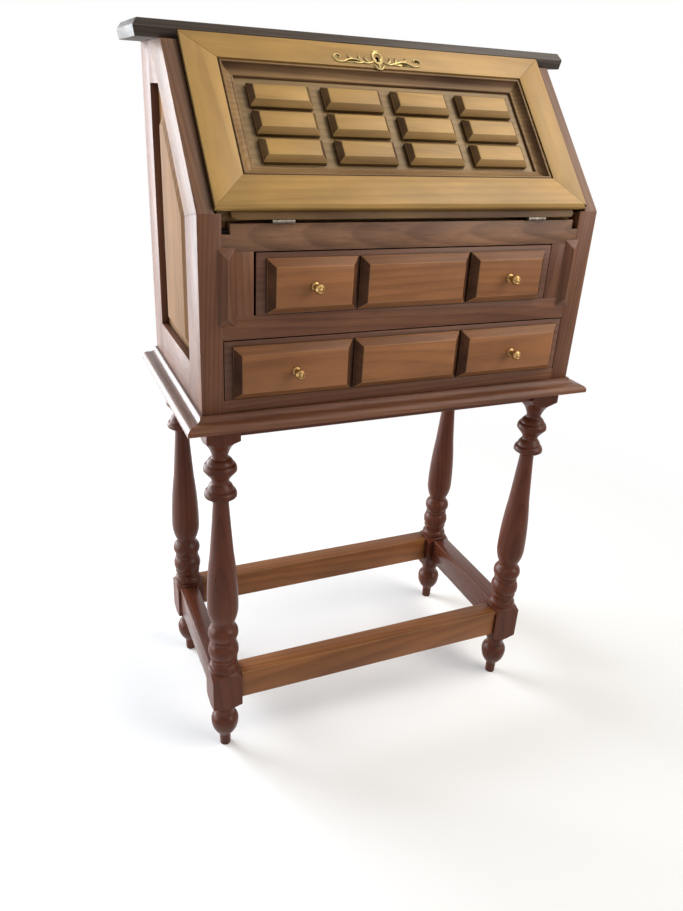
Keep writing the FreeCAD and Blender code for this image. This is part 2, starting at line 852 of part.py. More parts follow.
def make_fall_frame():
    """Write the mitred stiles and rails of the fall."""
    low_left = (fall_left, fall_lip_start)
    low_inner = (panel_left, panel_start)
    high_left = (fall_left, fall_end)
    high_inner = (panel_left, panel_end)
    low_step = (tongue_left, mitre_at(tongue_left, low_left, low_inner))
    high_step = (tongue_left, mitre_at(tongue_left, high_left, high_inner))

    def across(point):
        return case_width - point[0], point[1]

    lip = prism_y([low_left, low_inner, high_inner, high_left], fall_front_y, fall_lip_y)
    back = prism_y([low_step, low_inner, high_inner, high_step], fall_lip_y, fall_inner_y)
    panel = fall_panel()
    stile = lip.fuse(back).removeSplitter().cut(panel)
    save("fall_stiles", group([on_fall(stile), on_fall(mirrored(stile))]))

    lip = prism_y([low_left, across(low_left), across(low_inner), low_inner],
                  fall_front_y, fall_lip_y)
    corner = tongue_left + fall_tongue_corner
    back = prism_y([(corner, tongue_low), (case_width - corner, tongue_low),
                    (tongue_right, tongue_low + fall_tongue_corner), across(low_step),
                    across(low_inner), low_inner, low_step,
                    (tongue_left, tongue_low + fall_tongue_corner)], fall_lip_y, fall_inner_y)
    low_rail = on_fall(lip.fuse(back).removeSplitter().cut(panel))
    under = box(-overrun, case_width + overrun, -case_depth, case_depth,
                case_base, rail_top_z + hinge_gap)
    low_rail = low_rail.cut(under)

    lip = prism_y([high_left, high_inner, across(high_inner), across(high_left)],
                  fall_front_y, fall_lip_y)
    back = prism_y([high_step, high_inner, across(high_inner), across(high_step),
                    (tongue_right, tongue_high), (tongue_left, tongue_high)],
                   fall_lip_y, fall_inner_y)
    high_rail = lip.fuse(back).removeSplitter().cut(panel)
    high_rail = high_rail.cut(lock_body()).cut(keyhole(fall_front_y - overrun, fall_inner_y))
    save("fall_rails", group([low_rail, on_fall(high_rail)]))
    save("fall_panel", on_fall(panel))


def sunk_outline(place):
    """Return the sunk moulding's section: quirk, bead, long hollow and foot."""
    depth = fall_panel_y - fall_front_y
    bead_top = depth - sunk_quirk
    foot_in = sunk_width - sunk_foot
    hollow_top = bead_top - sunk_bead / 2
    hollow_middle = (sunk_foot_height + hollow_top) / 2 - sunk_quirk
    rows = [
        [(0, bead_top - sunk_quirk)],
        [(sunk_quirk, bead_top - sunk_quirk)],
        [(sunk_quirk + sunk_bead / 2, bead_top), (sunk_quirk + sunk_bead, hollow_top)],
        [((sunk_quirk + sunk_bead + foot_in) / 2, hollow_middle), (foot_in, sunk_foot_height)],
        [(sunk_width - sunk_quirk, sunk_foot_height), (sunk_width, sunk_quirk)],
        [(sunk_width, 0)],
    ]
    return flat_face((0, 0), rows, place)


def make_fall_moulding():
    """Write the four mitred lengths of moulding sunk inside the fall's frame."""
    def run(x0, x1, z0, angle):
        length = x1 - x0
        section = sunk_outline(lambda inward, rise: Vector(0, fall_panel_y - rise, inward))
        piece = section.extrude(Vector(length, 0, 0))
        trapezoid = [(0, 0), (length, 0), (length - sunk_width, sunk_width),
                     (sunk_width, sunk_width)]
        piece = piece.common(prism_y(trapezoid, fall_front_y - overrun, fall_panel_y))
        piece.rotate(Vector(0, 0, 0), Vector(0, 1, 0), angle)
        piece.translate(Vector(x0, 0, z0))
        return piece

    width = panel_right - panel_left
    height = panel_end - panel_start
    low = run(panel_left, panel_right, panel_start, 0)
    right = run(panel_right, panel_right + height, panel_start, -90)
    high = run(panel_right, panel_right + width, panel_end, 180)
    left = run(panel_left, panel_left + height, panel_end, 90)
    save("fall_moulding", group([on_fall(piece) for piece in (low, right, high, left)]))


def make_fall_blocks():
    """Write the rows of bevelled blocks planted on the fall's panel."""
    left = panel_left + sunk_width + block_side_margin
    right = panel_right - sunk_width - block_side_margin
    low = panel_start + sunk_width + block_bottom_margin
    high = panel_end - sunk_width - block_top_margin
    width = (right - left - (block_columns - 1) * block_column_gap) / block_columns
    height = (high - low - (block_rows - 1) * block_row_gap) / block_rows
    pattern = raised_block(width, height, block_height, block_bevel, block_bevel, block_plinth)
    blocks = []
    for row in range(block_rows):
        for column in range(block_columns):
            block = pattern.copy()
            block.translate(Vector(left + column * (width + block_column_gap), fall_panel_y,
                                   low + row * (height + block_row_gap)))
            blocks.append(on_fall(block))
    save("fall_blocks", group(blocks))


def make_lock():
    """Write the lock's case, its bolt and the brass plate round the keyhole."""
    case = lock_body().cut(bolt(overrun, bolt_clearance))
    case = case.cut(keyhole(fall_front_y - overrun, fall_inner_y - bolt_face_wall
                            - bolt_thickness - bolt_clearance))
    save("lock_case", on_fall(case))
    save("lock_bolt", on_fall(bolt(0, 0)))

    half_width = plate_width / 2
    half_height = plate_height / 2

    def place(share_x, share_z):
        return Vector(lock_x + share_x * half_width, fall_front_y,
                      keyhole_z + share_z * half_height)

    wing = flat_face(wing_start_shares, wing_shares, place)
    wing = wing.extrude(Vector(0, -plate_thickness, 0))
    other = wing.mirror(Vector(lock_x, 0, 0), Vector(1, 0, 0))
    shield = Part.Ellipse(Vector(0, 0, 0), half_height, plate_shield_width / 2).toShape()
    shield = Part.Face(Part.Wire([shield])).extrude(Vector(0, 0, plate_shield_thickness))
    shield.rotate(Vector(0, 0, 0), Vector(0, 0, 1), 90)
    shield.rotate(Vector(0, 0, 0), Vector(1, 0, 0), 90)
    shield.translate(Vector(lock_x, fall_front_y, keyhole_z))
    plate = shield.fuse(wing).fuse(other).removeSplitter()
    plate = plate.cut(keyhole(fall_front_y - overrun, fall_front_y + overrun))
    save("escutcheon", on_fall(plate))


# Hinges

def hinge_barrel(x0, x1, radius):
    """Return a round bar on the hinge's axis."""
    return Part.makeCylinder(radius, x1 - x0, Vector(x0, -hinge_pivot_reach, hinge_z),
                             Vector(1, 0, 0))


def hinge_leaf(x0, knuckles, z0, z1):
    """Return one leaf with its share of the knuckles, bored for the pin."""
    step = hinge_length / hinge_knuckles
    leaf = box(x0, x0 + hinge_length, 0, hinge_leaf_depth, z0, z1)
    bore = hinge_barrel(x0 - overrun, x0 + hinge_length + overrun,
                        hinge_pin_radius + hinge_pin_clearance)
    for index in knuckles:
        start = x0 + index * step + hinge_knuckle_gap
        end = x0 + (index + 1) * step - hinge_knuckle_gap
        barrel = hinge_barrel(start, end, hinge_barrel_radius)
        web = box(start, end, -hinge_pivot_reach, 0, z0, z1)
        leaf = leaf.fuse(barrel.fuse(web))
    return leaf.cut(bore).removeSplitter()


def make_hinges():
    """Write the two butt hinges: the case's leaves with their pins, and the fall's leaves."""
    case_pieces = []
    fall_pieces = []
    low = rail_top_z
    high = rail_top_z + hinge_gap
    for centre in (hinge_inset, case_width - hinge_inset):
        x0 = centre - hinge_length / 2
        case_pieces.append(hinge_leaf(x0, range(0, hinge_knuckles, 2),
                                      low, low + hinge_leaf_thickness))
        case_pieces.append(hinge_barrel(x0, x0 + hinge_length, hinge_pin_radius))
        fall_pieces.append(hinge_leaf(x0, range(1, hinge_knuckles, 2),
                                      high - hinge_leaf_thickness, high))
    save("hinge_leaves_case", group(case_pieces))
    save("hinge_leaves_fall", group(fall_pieces))


# Inside the desk

def make_fall_stop():
    """Write the strip under the top board that the closed fall rests against."""
    inner = fall_proud - fall_thickness - rest_gap
    low = ceiling_z - stop_depth
    face_y = slope_y(inner, low)
    outline = [(face_y, low), (face_y + stop_thickness, low),
               (face_y + stop_thickness, ceiling_z), (slope_y(inner, ceiling_z), ceiling_z)]
    save("fall_stop", prism_x(outline, stop_side_inset, case_width - stop_side_inset))


gallery_front = back_y - gallery_depth
gallery_shelf_z = kink_z + gallery_drawer_opening
gallery_top_z = gallery_shelf_z + gallery_board + gallery_upper_height


def make_gallery():
    """Write the gallery: uprights, shelf, dividers and top over two small drawers."""
    def upright(x, z0, z1):
        return box(x, x + gallery_board, gallery_front, back_y, z0, z1)

    ends = (inner_left, inner_right - gallery_board)
    inner = (inner_left + gallery_board + small_drawer_width,
             inner_right - 2 * gallery_board - small_drawer_width)
    boards = [upright(x, kink_z, gallery_shelf_z) for x in ends + inner]
    boards.append(box(inner_left, inner_right, gallery_front, back_y,
                      gallery_shelf_z, gallery_shelf_z + gallery_board))
    pitch = (ends[1] - ends[0]) / (gallery_upper_dividers + 1)
    for index in range(gallery_upper_dividers + 2):
        boards.append(upright(ends[0] + index * pitch, gallery_shelf_z + gallery_board,
                              gallery_top_z))
    boards.append(box(inner_left, inner_right, gallery_front, back_y,
                      gallery_top_z, gallery_top_z + gallery_board))
    save("gallery", group(boards))


def make_small_drawers():
    """Write the two small drawers of the gallery, each with its turned wooden knob."""
    x0 = inner_left + gallery_board + small_drawer_gap
    x1 = x0 + small_drawer_width - 2 * small_drawer_gap
    z0 = kink_z + sliding_gap
    z1 = gallery_shelf_z - small_drawer_gap
    y0 = gallery_front
    y1 = y0 + small_drawer_depth
    wall = small_drawer_wall
    inside = y0 + small_drawer_front
    front = box(x0, x1, y0, inside, z0, z1)
    left = box(x0, x0 + wall, inside, y1, z0, z1 - wall)
    right = box(x1 - wall, x1, inside, y1, z0, z1 - wall)
    back = box(x0 + wall, x1 - wall, y1 - wall, y1, z0, z1 - wall)
    bottom = box(x0 + wall, x1 - wall, inside, y1 - wall, z0, z0 + wall)
    handle = knob((x0 + x1) / 2, y0, (z0 + z1) / 2, small_knob_length, small_knob_radius,
                  small_knob_radius, wall / 2, small_knob_radius / 2)
    drawer_pieces = group([front, left, right, back, bottom, handle])
    save("small_drawer_left", drawer_pieces)
    save("small_drawer_right", mirrored(drawer_pieces))


def main():
    """Build every piece."""
    os.makedirs("parts", exist_ok=True)
    make_legs()
    make_stand()
    make_base_moulding()
    make_sides()
    make_case()
    make_strips()
    make_top_board()
    make_guides()
    make_slides()
    make_drawers()
    make_fall_frame()
    make_fall_moulding()
    make_fall_blocks()
    make_lock()
    make_hinges()
    make_fall_stop()
    make_gallery()
    make_small_drawers()


main()
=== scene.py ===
"""Finishes a slant-front writing desk: waxed woods, brass, steel, a plain studio and a camera."""

import json
import math
import random

import bmesh
import bpy
from mathutils import Matrix, Vector


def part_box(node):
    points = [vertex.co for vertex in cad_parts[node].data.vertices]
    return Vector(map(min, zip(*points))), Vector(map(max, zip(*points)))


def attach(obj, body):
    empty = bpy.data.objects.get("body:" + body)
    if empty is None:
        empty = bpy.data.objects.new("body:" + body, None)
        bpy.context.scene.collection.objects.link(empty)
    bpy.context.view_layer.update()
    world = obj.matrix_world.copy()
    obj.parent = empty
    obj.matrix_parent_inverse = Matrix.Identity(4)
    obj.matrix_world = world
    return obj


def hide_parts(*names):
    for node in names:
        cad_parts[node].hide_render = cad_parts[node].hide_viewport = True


bl_info = {
    "name": "Slant-front desk finish",
    "version": (1, 0, 0),
    "blender": (4, 5, 0),
    "location": "View3D > Sidebar > Desk",
    "description": "Waxed woods, brass, steel, studio and camera of a slant-front writing desk",
    "category": "Object",
}

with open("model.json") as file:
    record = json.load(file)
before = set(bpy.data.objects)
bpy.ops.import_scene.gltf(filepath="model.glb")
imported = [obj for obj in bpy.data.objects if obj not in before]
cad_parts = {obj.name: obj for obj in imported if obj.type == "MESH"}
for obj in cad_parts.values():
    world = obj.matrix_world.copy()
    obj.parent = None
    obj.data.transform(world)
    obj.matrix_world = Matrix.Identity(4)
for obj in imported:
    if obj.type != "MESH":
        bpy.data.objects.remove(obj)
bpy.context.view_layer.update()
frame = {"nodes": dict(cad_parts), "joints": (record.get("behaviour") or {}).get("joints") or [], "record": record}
NODES = frame["nodes"]

MM = 0.001
MERGE = 0.01 * MM
FLAT = math.radians(0.6)
CREASE = math.radians(30)

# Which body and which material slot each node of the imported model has
BODY_OF = {node: body for body, nodes in frame["record"]["behaviour"]["bodies"].items()
           for node in nodes}
SLOT_OF = {row["node"]: row["material_slot"] for row in frame["record"]["subparts"]}

# Directions of the closed fall, from the throw of its lock bolt
BOLT_THROW = next(joint for joint in frame["joints"] if joint["name"] == "lock_bolt_throw")
ACROSS = Vector((1, 0, 0))
UP_SLOPE = Vector(BOLT_THROW["axis"]).normalized()
OUT_OF_FALL = ACROSS.cross(UP_SLOPE)
UPRIGHT = (ACROSS, Vector((0, 1, 0)), Vector((0, 0, 1)))
ON_SLOPE = (ACROSS, OUT_OF_FALL, UP_SLOPE)

# Which of these axes a board's grain runs along
CROSSWISE, FORE_AND_AFT, UPWARD = 0, 1, 2


# Colours and nodes

def hex_linear(code):
    """Return an sRGB hex colour as linear red, green, blue and alpha."""
    channels = [int(code[i:i + 2], 16) / 255 for i in (1, 3, 5)]
    linear = [c / 12.92 if c <= 0.04045 else ((c + 0.055) / 1.055) ** 2.4 for c in channels]
    return (*linear, 1.0)


def as_linear(colour):
    """Return a hex code, or a colour that a user has set, as linear red, green, blue, alpha."""
    return hex_linear(colour) if isinstance(colour, str) else (*colour, 1.0)


def grey(level):
    """Return a linear grey of this level."""
    return (level, level, level, 1.0)


def set_inputs(tree, node, inputs):
    """Set or link a node's inputs, given by name or number."""
    for key, value in inputs.items():
        if isinstance(value, bpy.types.NodeSocket):
            tree.links.new(value, node.inputs[key])
        else:
            node.inputs[key].default_value = value


def add_node(tree, kind, inputs=None, **settings):
    """Add a node, set its properties, and set or link its inputs."""
    node = tree.nodes.new(kind)
    for name, value in settings.items():
        setattr(node, name, value)
    set_inputs(tree, node, inputs or {})
    return node


def cleared_tree(owner):
    """Return the emptied node tree of a material or of the world."""
    owner.use_nodes = True
    owner.node_tree.nodes.clear()
    return owner.node_tree


def new_material(name):
    """Return an empty node material, its tree, and its surface shader."""
    material = bpy.data.materials.new(name)
    tree = cleared_tree(material)
    shader = add_node(tree, "ShaderNodeBsdfPrincipled")
    add_node(tree, "ShaderNodeOutputMaterial", {"Surface": shader.outputs["BSDF"]})
    return material, tree, shader


# Sockets of the colour Mix node, which share their names with its number sockets
MIX_FACTOR, MIX_A, MIX_B, MIX_RESULT = 0, 6, 7, 2


def blended(tree, factor, first, second, mode="MIX"):
    """Return the colour that a Mix node gives."""
    node = add_node(tree, "ShaderNodeMix", {MIX_FACTOR: factor, MIX_A: first, MIX_B: second},
                    data_type="RGBA", blend_type=mode)
    return node.outputs[MIX_RESULT]


def ramp(tree, value, stops):
    """Return the colour that a ramp gives a value, from rising (place, colour) stops."""
    node = add_node(tree, "ShaderNodeValToRGB", {"Fac": value})
    elements = node.color_ramp.elements
    while len(elements) > 1:
        elements.remove(elements[-1])
    elements[0].position, elements[0].color = stops[0]
    for place, colour in stops[1:]:
        elements.new(place).color = colour
    return node.outputs["Color"]


def times(tree, first, second):
    """Return the product of two colours."""
    return blended(tree, 1.0, first, second, "MULTIPLY")


def product(tree, first, second):
    """Return the product of two numbers."""
    return add_node(tree, "ShaderNodeMath", {0: first, 1: second},
                    operation="MULTIPLY").outputs["Value"]


def ranged(tree, value, to_start, to_end, start=0.0, end=1.0, curve="LINEAR"):
    """Return a number moved from the range start to end into the range to_start to to_end."""
    return add_node(tree, "ShaderNodeMapRange",
                    {"Value": value, "From Min": start, "From Max": end, "To Min": to_start,
                     "To Max": to_end}, interpolation_type=curve).outputs["Result"]


# Wood, whose figure is drawn at its real size. A ring wave repeats every 2 pi / 20 of its unit.
RING_UNIT = math.tau / 20
NOISE_LOW = 0.3
NOISE_HIGH = 0.7
PORE_WIDTH = 1.0 * MM
PORE_LENGTH = 22 * MM
FIBRE_WIDTH = 2.2 * MM
FIBRE_LENGTH = 120 * MM
STREAK_WIDTH = 14 * MM
STREAK_LENGTH = 420 * MM
CLOUD_WIDTH = 55 * MM
CLOUD_LENGTH = 160 * MM
DIRT_AND_SHADE_REACH = 9 * MM
# How far the painted shade and dirt of the hollows reach
BUMP_HEIGHT = 0.2 * MM
LOG_STRETCH = 0.22
OCCLUSION_RAYS = 6
# Dark tone of the stain, also used for painted shade
STAIN_AND_SHADE_TONE = "#38221a"


def grain_noise(tree, width, length, detail, rough):
    """Return a noise of spots this wide and this long along the board's grain."""
    place = add_node(tree, "ShaderNodeAttribute", attribute_name="grain").outputs["Vector"]
    mapped = add_node(tree, "ShaderNodeMapping",
                      {"Vector": place, "Scale": (1 / width, 1 / width, 1 / length)})
    return add_node(tree, "ShaderNodeTexNoise",
                    {"Vector": mapped.outputs["Vector"], "Scale": 1.0, "Detail": detail,
                     "Roughness": rough}).outputs["Fac"]


def growth_rings(tree, ring):
    """Return rings round the log's axis, each dark at its outer side."""
    place = add_node(tree, "ShaderNodeAttribute", attribute_name="grain").outputs["Vector"]
    mapped = add_node(tree, "ShaderNodeMapping",
                      {"Vector": place, "Scale": (1, 1, LOG_STRETCH)})
    return add_node(tree, "ShaderNodeTexWave",
                    {"Vector": mapped.outputs["Vector"], "Scale": RING_UNIT / ring,
                     "Distortion": 7.0, "Detail": 2.0, "Detail Scale": 0.16,
                     "Detail Roughness": 0.55},
                    wave_type="RINGS", rings_direction="Z", wave_profile="SAW").outputs["Fac"]


def bare_tone(tree, rings, fibre, cloud, pores, early, late, pore, figure):
    """Return the colour of the planed board: rings, fibres, streaks, clouds and pores."""
    streak = grain_noise(tree, STREAK_WIDTH, STREAK_LENGTH, 2.0, 0.5)
    early_tone, late_tone = as_linear(early), hex_linear(late)
    tone = ramp(tree, rings, [(0.0, late_tone), (0.08, early_tone), (0.40, early_tone),
                              (0.90, late_tone), (1.0, late_tone)])
    tone = times(tree, tone, ramp(tree, fibre, [(0.30, grey(1 - 0.20 * figure)),
                                                (0.70, grey(1 + 0.10 * figure))]))
    weak = 1 - 0.2 * figure
    tone = times(tree, tone, ramp(tree, streak, [(0.34, (weak, 0.98 * weak, 0.97 * weak, 1.0)),
                                                 (0.62, grey(1.05))]))
    tone = times(tree, tone, ramp(tree, cloud, [(0.32, (0.80, 0.77, 0.76, 1.0)),
                                                (0.68, (1.16, 1.13, 1.08, 1.0))]))
    open_pores = ramp(tree, pores, [(0.60, grey(0.0)), (0.74, grey(0.45 * figure))])
    return blended(tree, open_pores, tone, hex_linear(pore))


def stain_and_shade_depth(tree, cloud):
    """Return how much stain and painted shade lie here: the stain attribute, made uneven."""
    stain = add_node(tree, "ShaderNodeAttribute", attribute_name="stain").outputs["Fac"]
    return product(tree, stain, ranged(tree, cloud, 1.0, 0.72, NOISE_LOW, NOISE_HIGH))


def worn_tone(tree, tone, cloud, worn):
    """Return the colour with its edges rubbed pale, where the wear attribute says."""
    wear = add_node(tree, "ShaderNodeAttribute", attribute_name="wear").outputs["Fac"]
    return blended(tree, product(tree, wear, cloud), tone, hex_linear(worn))


def dirt_and_shade_tone(tree, tone, dirt_and_shade):
    """Return the colour darkened in the hollows: partly dirt and old wax, partly painted shade where neighbouring
    parts shade them.
    """
    # Ambient occlusion darkens hollows, corners and joints: painted shade, with some real dirt and old wax
    hollow = add_node(tree, "ShaderNodeAmbientOcclusion", {"Distance": DIRT_AND_SHADE_REACH},
                      samples=OCCLUSION_RAYS)
    low, high = 1 - 0.62 * dirt_and_shade, 1 - 0.18 * dirt_and_shade
    return times(tree, tone, ramp(tree, hollow.outputs["AO"],
                                  [(0.20, (low, 0.93 * low, 0.90 * low, 1.0)),
                                   (0.60, grey(high)), (0.92, grey(1.0))]))


def wood(name, early, late, pore, worn, ring=5 * MM, figure=1.0, roughness=0.42, dirt_and_shade=1.0,
         shine=0.25):
    """Return a stained and waxed wood that follows each board's own grain attribute.

    Its colours are those of early wood, late wood, pores and rubbed edges. Ring is the width of
    a year's growth, and figure, dirt_and_shade and shine are how strongly each shows; dirt_and_shade darkens the
    hollows, partly as dirt and partly as painted shade.
    """
    material, tree, shader = new_material(name)
    rings = growth_rings(tree, ring)
    fibre = grain_noise(tree, FIBRE_WIDTH, FIBRE_LENGTH, 3.0, 0.6)
    cloud = grain_noise(tree, CLOUD_WIDTH, CLOUD_LENGTH, 3.0, 0.55)
    pores = grain_noise(tree, PORE_WIDTH, PORE_LENGTH, 2.0, 0.5)
    depth = stain_and_shade_depth(tree, cloud)
    tone = bare_tone(tree, rings, fibre, cloud, pores, early, late, pore, figure)
    # The dark mix lays real stain and also the painted shade held in the stain attribute
    tone = blended(tree, depth, tone, hex_linear(STAIN_AND_SHADE_TONE))
    # The hollows darken, partly as real dirt and partly as painted shade
    tone = dirt_and_shade_tone(tree, worn_tone(tree, tone, cloud, worn), dirt_and_shade)
    relief = add_node(tree, "ShaderNodeMath", {0: pores, 1: 0.6, 2: rings},
                      operation="MULTIPLY_ADD")
    bump = add_node(tree, "ShaderNodeBump",
                    {"Height": relief.outputs["Value"], "Strength": 0.18 * figure,
                     "Distance": BUMP_HEIGHT})
    set_inputs(tree, shader, {
        "Base Color": tone,
        "Roughness": ranged(tree, fibre, roughness - 0.05, roughness + 0.09, NOISE_LOW,
                            NOISE_HIGH),
        "Normal": bump.outputs["Normal"],
        # Stained wood, and the faces with painted shade, are dull
        "Specular IOR Level": ranged(tree, depth, shine, 0.2 * shine)})
    return material


# Metal, dulled in patches, slightly rough, and darkened in hollows by patina and painted shade
GRIT_SIZE = 1.6 * MM
GRIT_HEIGHT = 0.1 * MM
PATCH_SIZE = 9 * MM


def metal(name, bright, dull, roughness, reach=2 * MM):
    """Return a cast or rolled metal, dulled in patches, and darkened in hollows as deep as reach: partly patina,
    partly painted shade.
    """
    material, tree, shader = new_material(name)
    place = add_node(tree, "ShaderNodeTexCoord").outputs["Object"]
    stain = add_node(tree, "ShaderNodeTexNoise",
                     {"Vector": place, "Scale": 1 / PATCH_SIZE, "Detail": 3.0}).outputs["Fac"]
    grit = add_node(tree, "ShaderNodeTexNoise",
                    {"Vector": place, "Scale": 1 / GRIT_SIZE, "Detail": 2.0}).outputs["Fac"]
    hollow = add_node(tree, "ShaderNodeAmbientOcclusion", {"Distance": reach},
                      samples=OCCLUSION_RAYS)
    patches = ranged(tree, stain, 0.0, 0.6, start=0.45, end=0.75)
    tone = blended(tree, patches, as_linear(bright), hex_linear(dull))
    # Hollows take the dull colour: real patina there, and painted shade where nearby parts shade the metal
    tone = blended(tree, hollow.outputs["AO"], hex_linear(dull), tone)
    bump = add_node(tree, "ShaderNodeBump", {"Height": grit, "Strength": 0.10,
                                             "Distance": GRIT_HEIGHT})
    set_inputs(tree, shader, {
        "Base Color": tone,
        "Metallic": 1.0,
        "Roughness": ranged(tree, stain, roughness - 0.06, roughness + 0.14, NOISE_LOW,
                            NOISE_HIGH),
        "Normal": bump.outputs["Normal"]})
    return material


# Late wood, pores and rubbed edges of the stained chestnut
CHESTNUT = ("#64402e", "#38231a", "#947058")
LEG_CHESTNUT = ("#4c2618", "#2f1811", "#8a5f4b")


def make_materials(tones):
    """Make every finish of the desk and return them by slot name, or by a part's own name."""
    return {
        # Chestnut, stained red brown and waxed: soft sheen, long dark pores, rubbed edges
        "case_wood": wood("stained_chestnut", tones.case_tone, *CHESTNUT, ring=5.5 * MM,
                          figure=0.8),
        # The same wood cut through the rings, greyed by light
        "figured_wood": wood("figured_chestnut", "#7e5d47", "#6f513e", "#3f2a1e", "#947058",
                             ring=5.5 * MM),
        # The same wood waxed smooth on the side mouldings, where it mirrors the window
        "glossy_case_wood": wood("waxed_chestnut", tones.case_tone, *CHESTNUT, ring=5.5 * MM,
                                 figure=0.6, roughness=0.28, shine=0.6),
        # The same wood under the drawers' fields, where the stain is thickest
        "ground_wood": wood("dark_stained_ground", "#684737", "#5c3e30", "#35231a", "#80604e",
                            ring=7 * MM, figure=0.5),
        # The same wood on the drawers' raised fields, where hands have cleared the stain
        "field_wood": wood("rubbed_chestnut", "#8b5d3a", "#815534", "#4f301d", "#ab8055",
                           ring=8 * MM, figure=0.45),
        # Panels of the sides, bleached by the window, with their tone kept darker as painted shade where the frame
        # shades them
        "panel_side_wood": wood("side_panel_chestnut_painted_shade", "#83603b", "#775534", "#553b24", "#a98a5e",
                                ring=8 * MM, figure=0.5, roughness=0.6, shine=0.08),
        # Waxed golden beech of the fall: close grain, almost without figure
        "fall_wood": wood("golden_beech", tones.fall_tone, "#a38149", "#755732", "#c8a96c",
                          ring=9 * MM, figure=0.35, roughness=0.40, shine=0.3),
        # The same beech under the blocks, greyed by dust and old wax
        "panel_wood": wood("dusty_beech", "#947c58", "#89714f", "#5c4a2c", "#a8935f",
                           ring=8 * MM, figure=0.4),
        # Beech moulding, whose faces turned down the slope and to the left carry painted shade through the stain
        # attribute
        "moulding_wood": wood("moulding_painted_shade", "#92744c", "#84673f", "#523a24", "#b09161",
                              ring=6 * MM, figure=0.5),
        # Dark stained top, dulled by dust and light
        "top_wood": wood("dark_stained_top", tones.top_tone, "#3b332c", "#241f1b", "#6f6357",
                         ring=5 * MM, figure=0.6),
        # Turned legs, stained darkest and reddest
        "leg_wood": wood("turned_dark_chestnut", tones.leg_tone, *LEG_CHESTNUT, ring=7 * MM,
                         figure=0.35, roughness=0.32, shine=0.2),
        # Side stretchers, coloured as the legs and waxed smooth: the legs' darker tone stands in as painted shade
        # for the shaded inner stretcher
        "glossy_shaded_stretcher_wood": wood("waxed_chestnut_painted_shade", tones.leg_tone, *LEG_CHESTNUT,
                                ring=7 * MM, figure=0.35, roughness=0.25, shine=0.6),
        # Stretchers, orange brown where feet have worn the stain
        "stretcher_wood": wood("worn_stretcher", "#84542d", "#774a27", "#482a16", "#a98359",
                               ring=8 * MM, figure=0.4),
        # Bare sanded poplar inside the desk and the drawers
        "inner_wood": wood("bare_poplar", "#bd9a6c", "#b08c60", "#8a6844", "#cfb084",
                           ring=8 * MM, figure=0.6, roughness=0.6, dirt_and_shade=0.6),
        # Sanded board of the back
        "back_wood": wood("bare_back_board", "#93724c", "#8a6a46", "#66492e", "#b08d63",
                          ring=11 * MM, figure=0.5, roughness=0.62, dirt_and_shade=0.6, shine=0.15),
        # Cast brass, lacquer worn off: pale on the ridges, browned in the hollows, partly patina and partly
        # painted shade that darkens the knobs' roses against the drawer
        "brass": metal("worn_cast_brass", tones.brass_tone, "#3f2b17", 0.34, reach=7 * MM),
        # Cast brass of the lock plate, never polished, with painted shade in its hollows beside real patina
        "plate_brass": metal("dull_cast_brass", "#b5a06c", "#33250f", 0.42, reach=3.5 * MM),
        # Plain steel of the hinges, a little dull
        "steel": metal("plain_steel", "#827970", "#443d36", 0.5),
        # Forged slides, blackened
        "black_iron": metal("blackened_iron", "#2e2b29", "#1c1a19", 0.5),
    }


# The finishes by name, filled by the first operator
MATERIALS = {}


# Modelling helpers

def take_up(piece):
    """Select this object alone and make it active."""
    if bpy.context.object and bpy.context.object.mode != "OBJECT":
        bpy.ops.object.mode_set(mode="OBJECT")
    bpy.ops.object.select_all(action="DESELECT")
    piece.select_set(True)
    bpy.context.view_layer.objects.active = piece


def new_object(name, data):
    """Put a mesh, curve, lamp or camera in the scene as an object at the origin."""
    item = bpy.data.objects.new(name, data)
    bpy.context.scene.collection.objects.link(item)
    take_up(item)
    return item


def joined(name, parts):
    """Join several objects into one at the origin."""
    take_up(parts[0])
    for part in parts:
        part.select_set(True)
    bpy.ops.object.join()
    piece = bpy.context.object
    piece.name = name
    return piece


def merge_all():
    """Select the whole open mesh and merge the points that lie together."""
    bpy.ops.mesh.select_all(action="SELECT")
    bpy.ops.mesh.remove_doubles(threshold=MERGE)


def copied(node):
    """Return a merged copy of a CAD node's mesh with its flat faces whole again."""
    piece = new_object(node + "_finished", NODES[node].data.copy())
    if piece.data.has_custom_normals:
        bpy.ops.mesh.customdata_custom_splitnormals_clear()
    bpy.ops.object.mode_set(mode="EDIT")
    merge_all()
    bpy.ops.mesh.dissolve_limited(angle_limit=FLAT)
    bpy.ops.object.mode_set(mode="OBJECT")
    return piece


def open_with_edges(piece, wanted):
    """Open a piece in edit mode with those edges selected that a function wants."""
    take_up(piece)
    bpy.ops.object.mode_set(mode="EDIT")
    bpy.ops.mesh.select_mode(type="EDGE")
    bpy.ops.mesh.select_all(action="DESELECT")
    work = bmesh.from_edit_mesh(piece.data)
    for edge in work.edges:
        edge.select = wanted(edge)
    work.select_flush_mode()
    bmesh.update_edit_mesh(piece.data)


# A face narrower than this many roundings belongs to a rounding
ROUNDING_FACES = 1.2


def soften(piece, width, least_length):
    """Round the long outer edges of a piece and mark the middle of each rounding as worn."""

    def is_long_and_outer(edge):
        return (len(edge.link_faces) == 2 and edge.is_convex
                and edge.calc_length() > least_length and edge.calc_face_angle(0.0) > CREASE)

    open_with_edges(piece, is_long_and_outer)
    bpy.ops.mesh.bevel(offset=width, segments=2, affect="EDGES", clamp_overlap=True)
    work = bmesh.from_edit_mesh(piece.data)
    wear = work.verts.layers.float.new("wear")
    narrowest = ROUNDING_FACES * width
    for vertex in work.verts:
        narrow = [face.calc_area() < narrowest * max(edge.calc_length() for edge in face.edges)
                  for face in vertex.link_faces]
        vertex[wear] = 1.0 if narrow and all(narrow) else 0.0
    bmesh.update_edit_mesh(piece.data)
    bpy.ops.object.mode_set(mode="OBJECT")


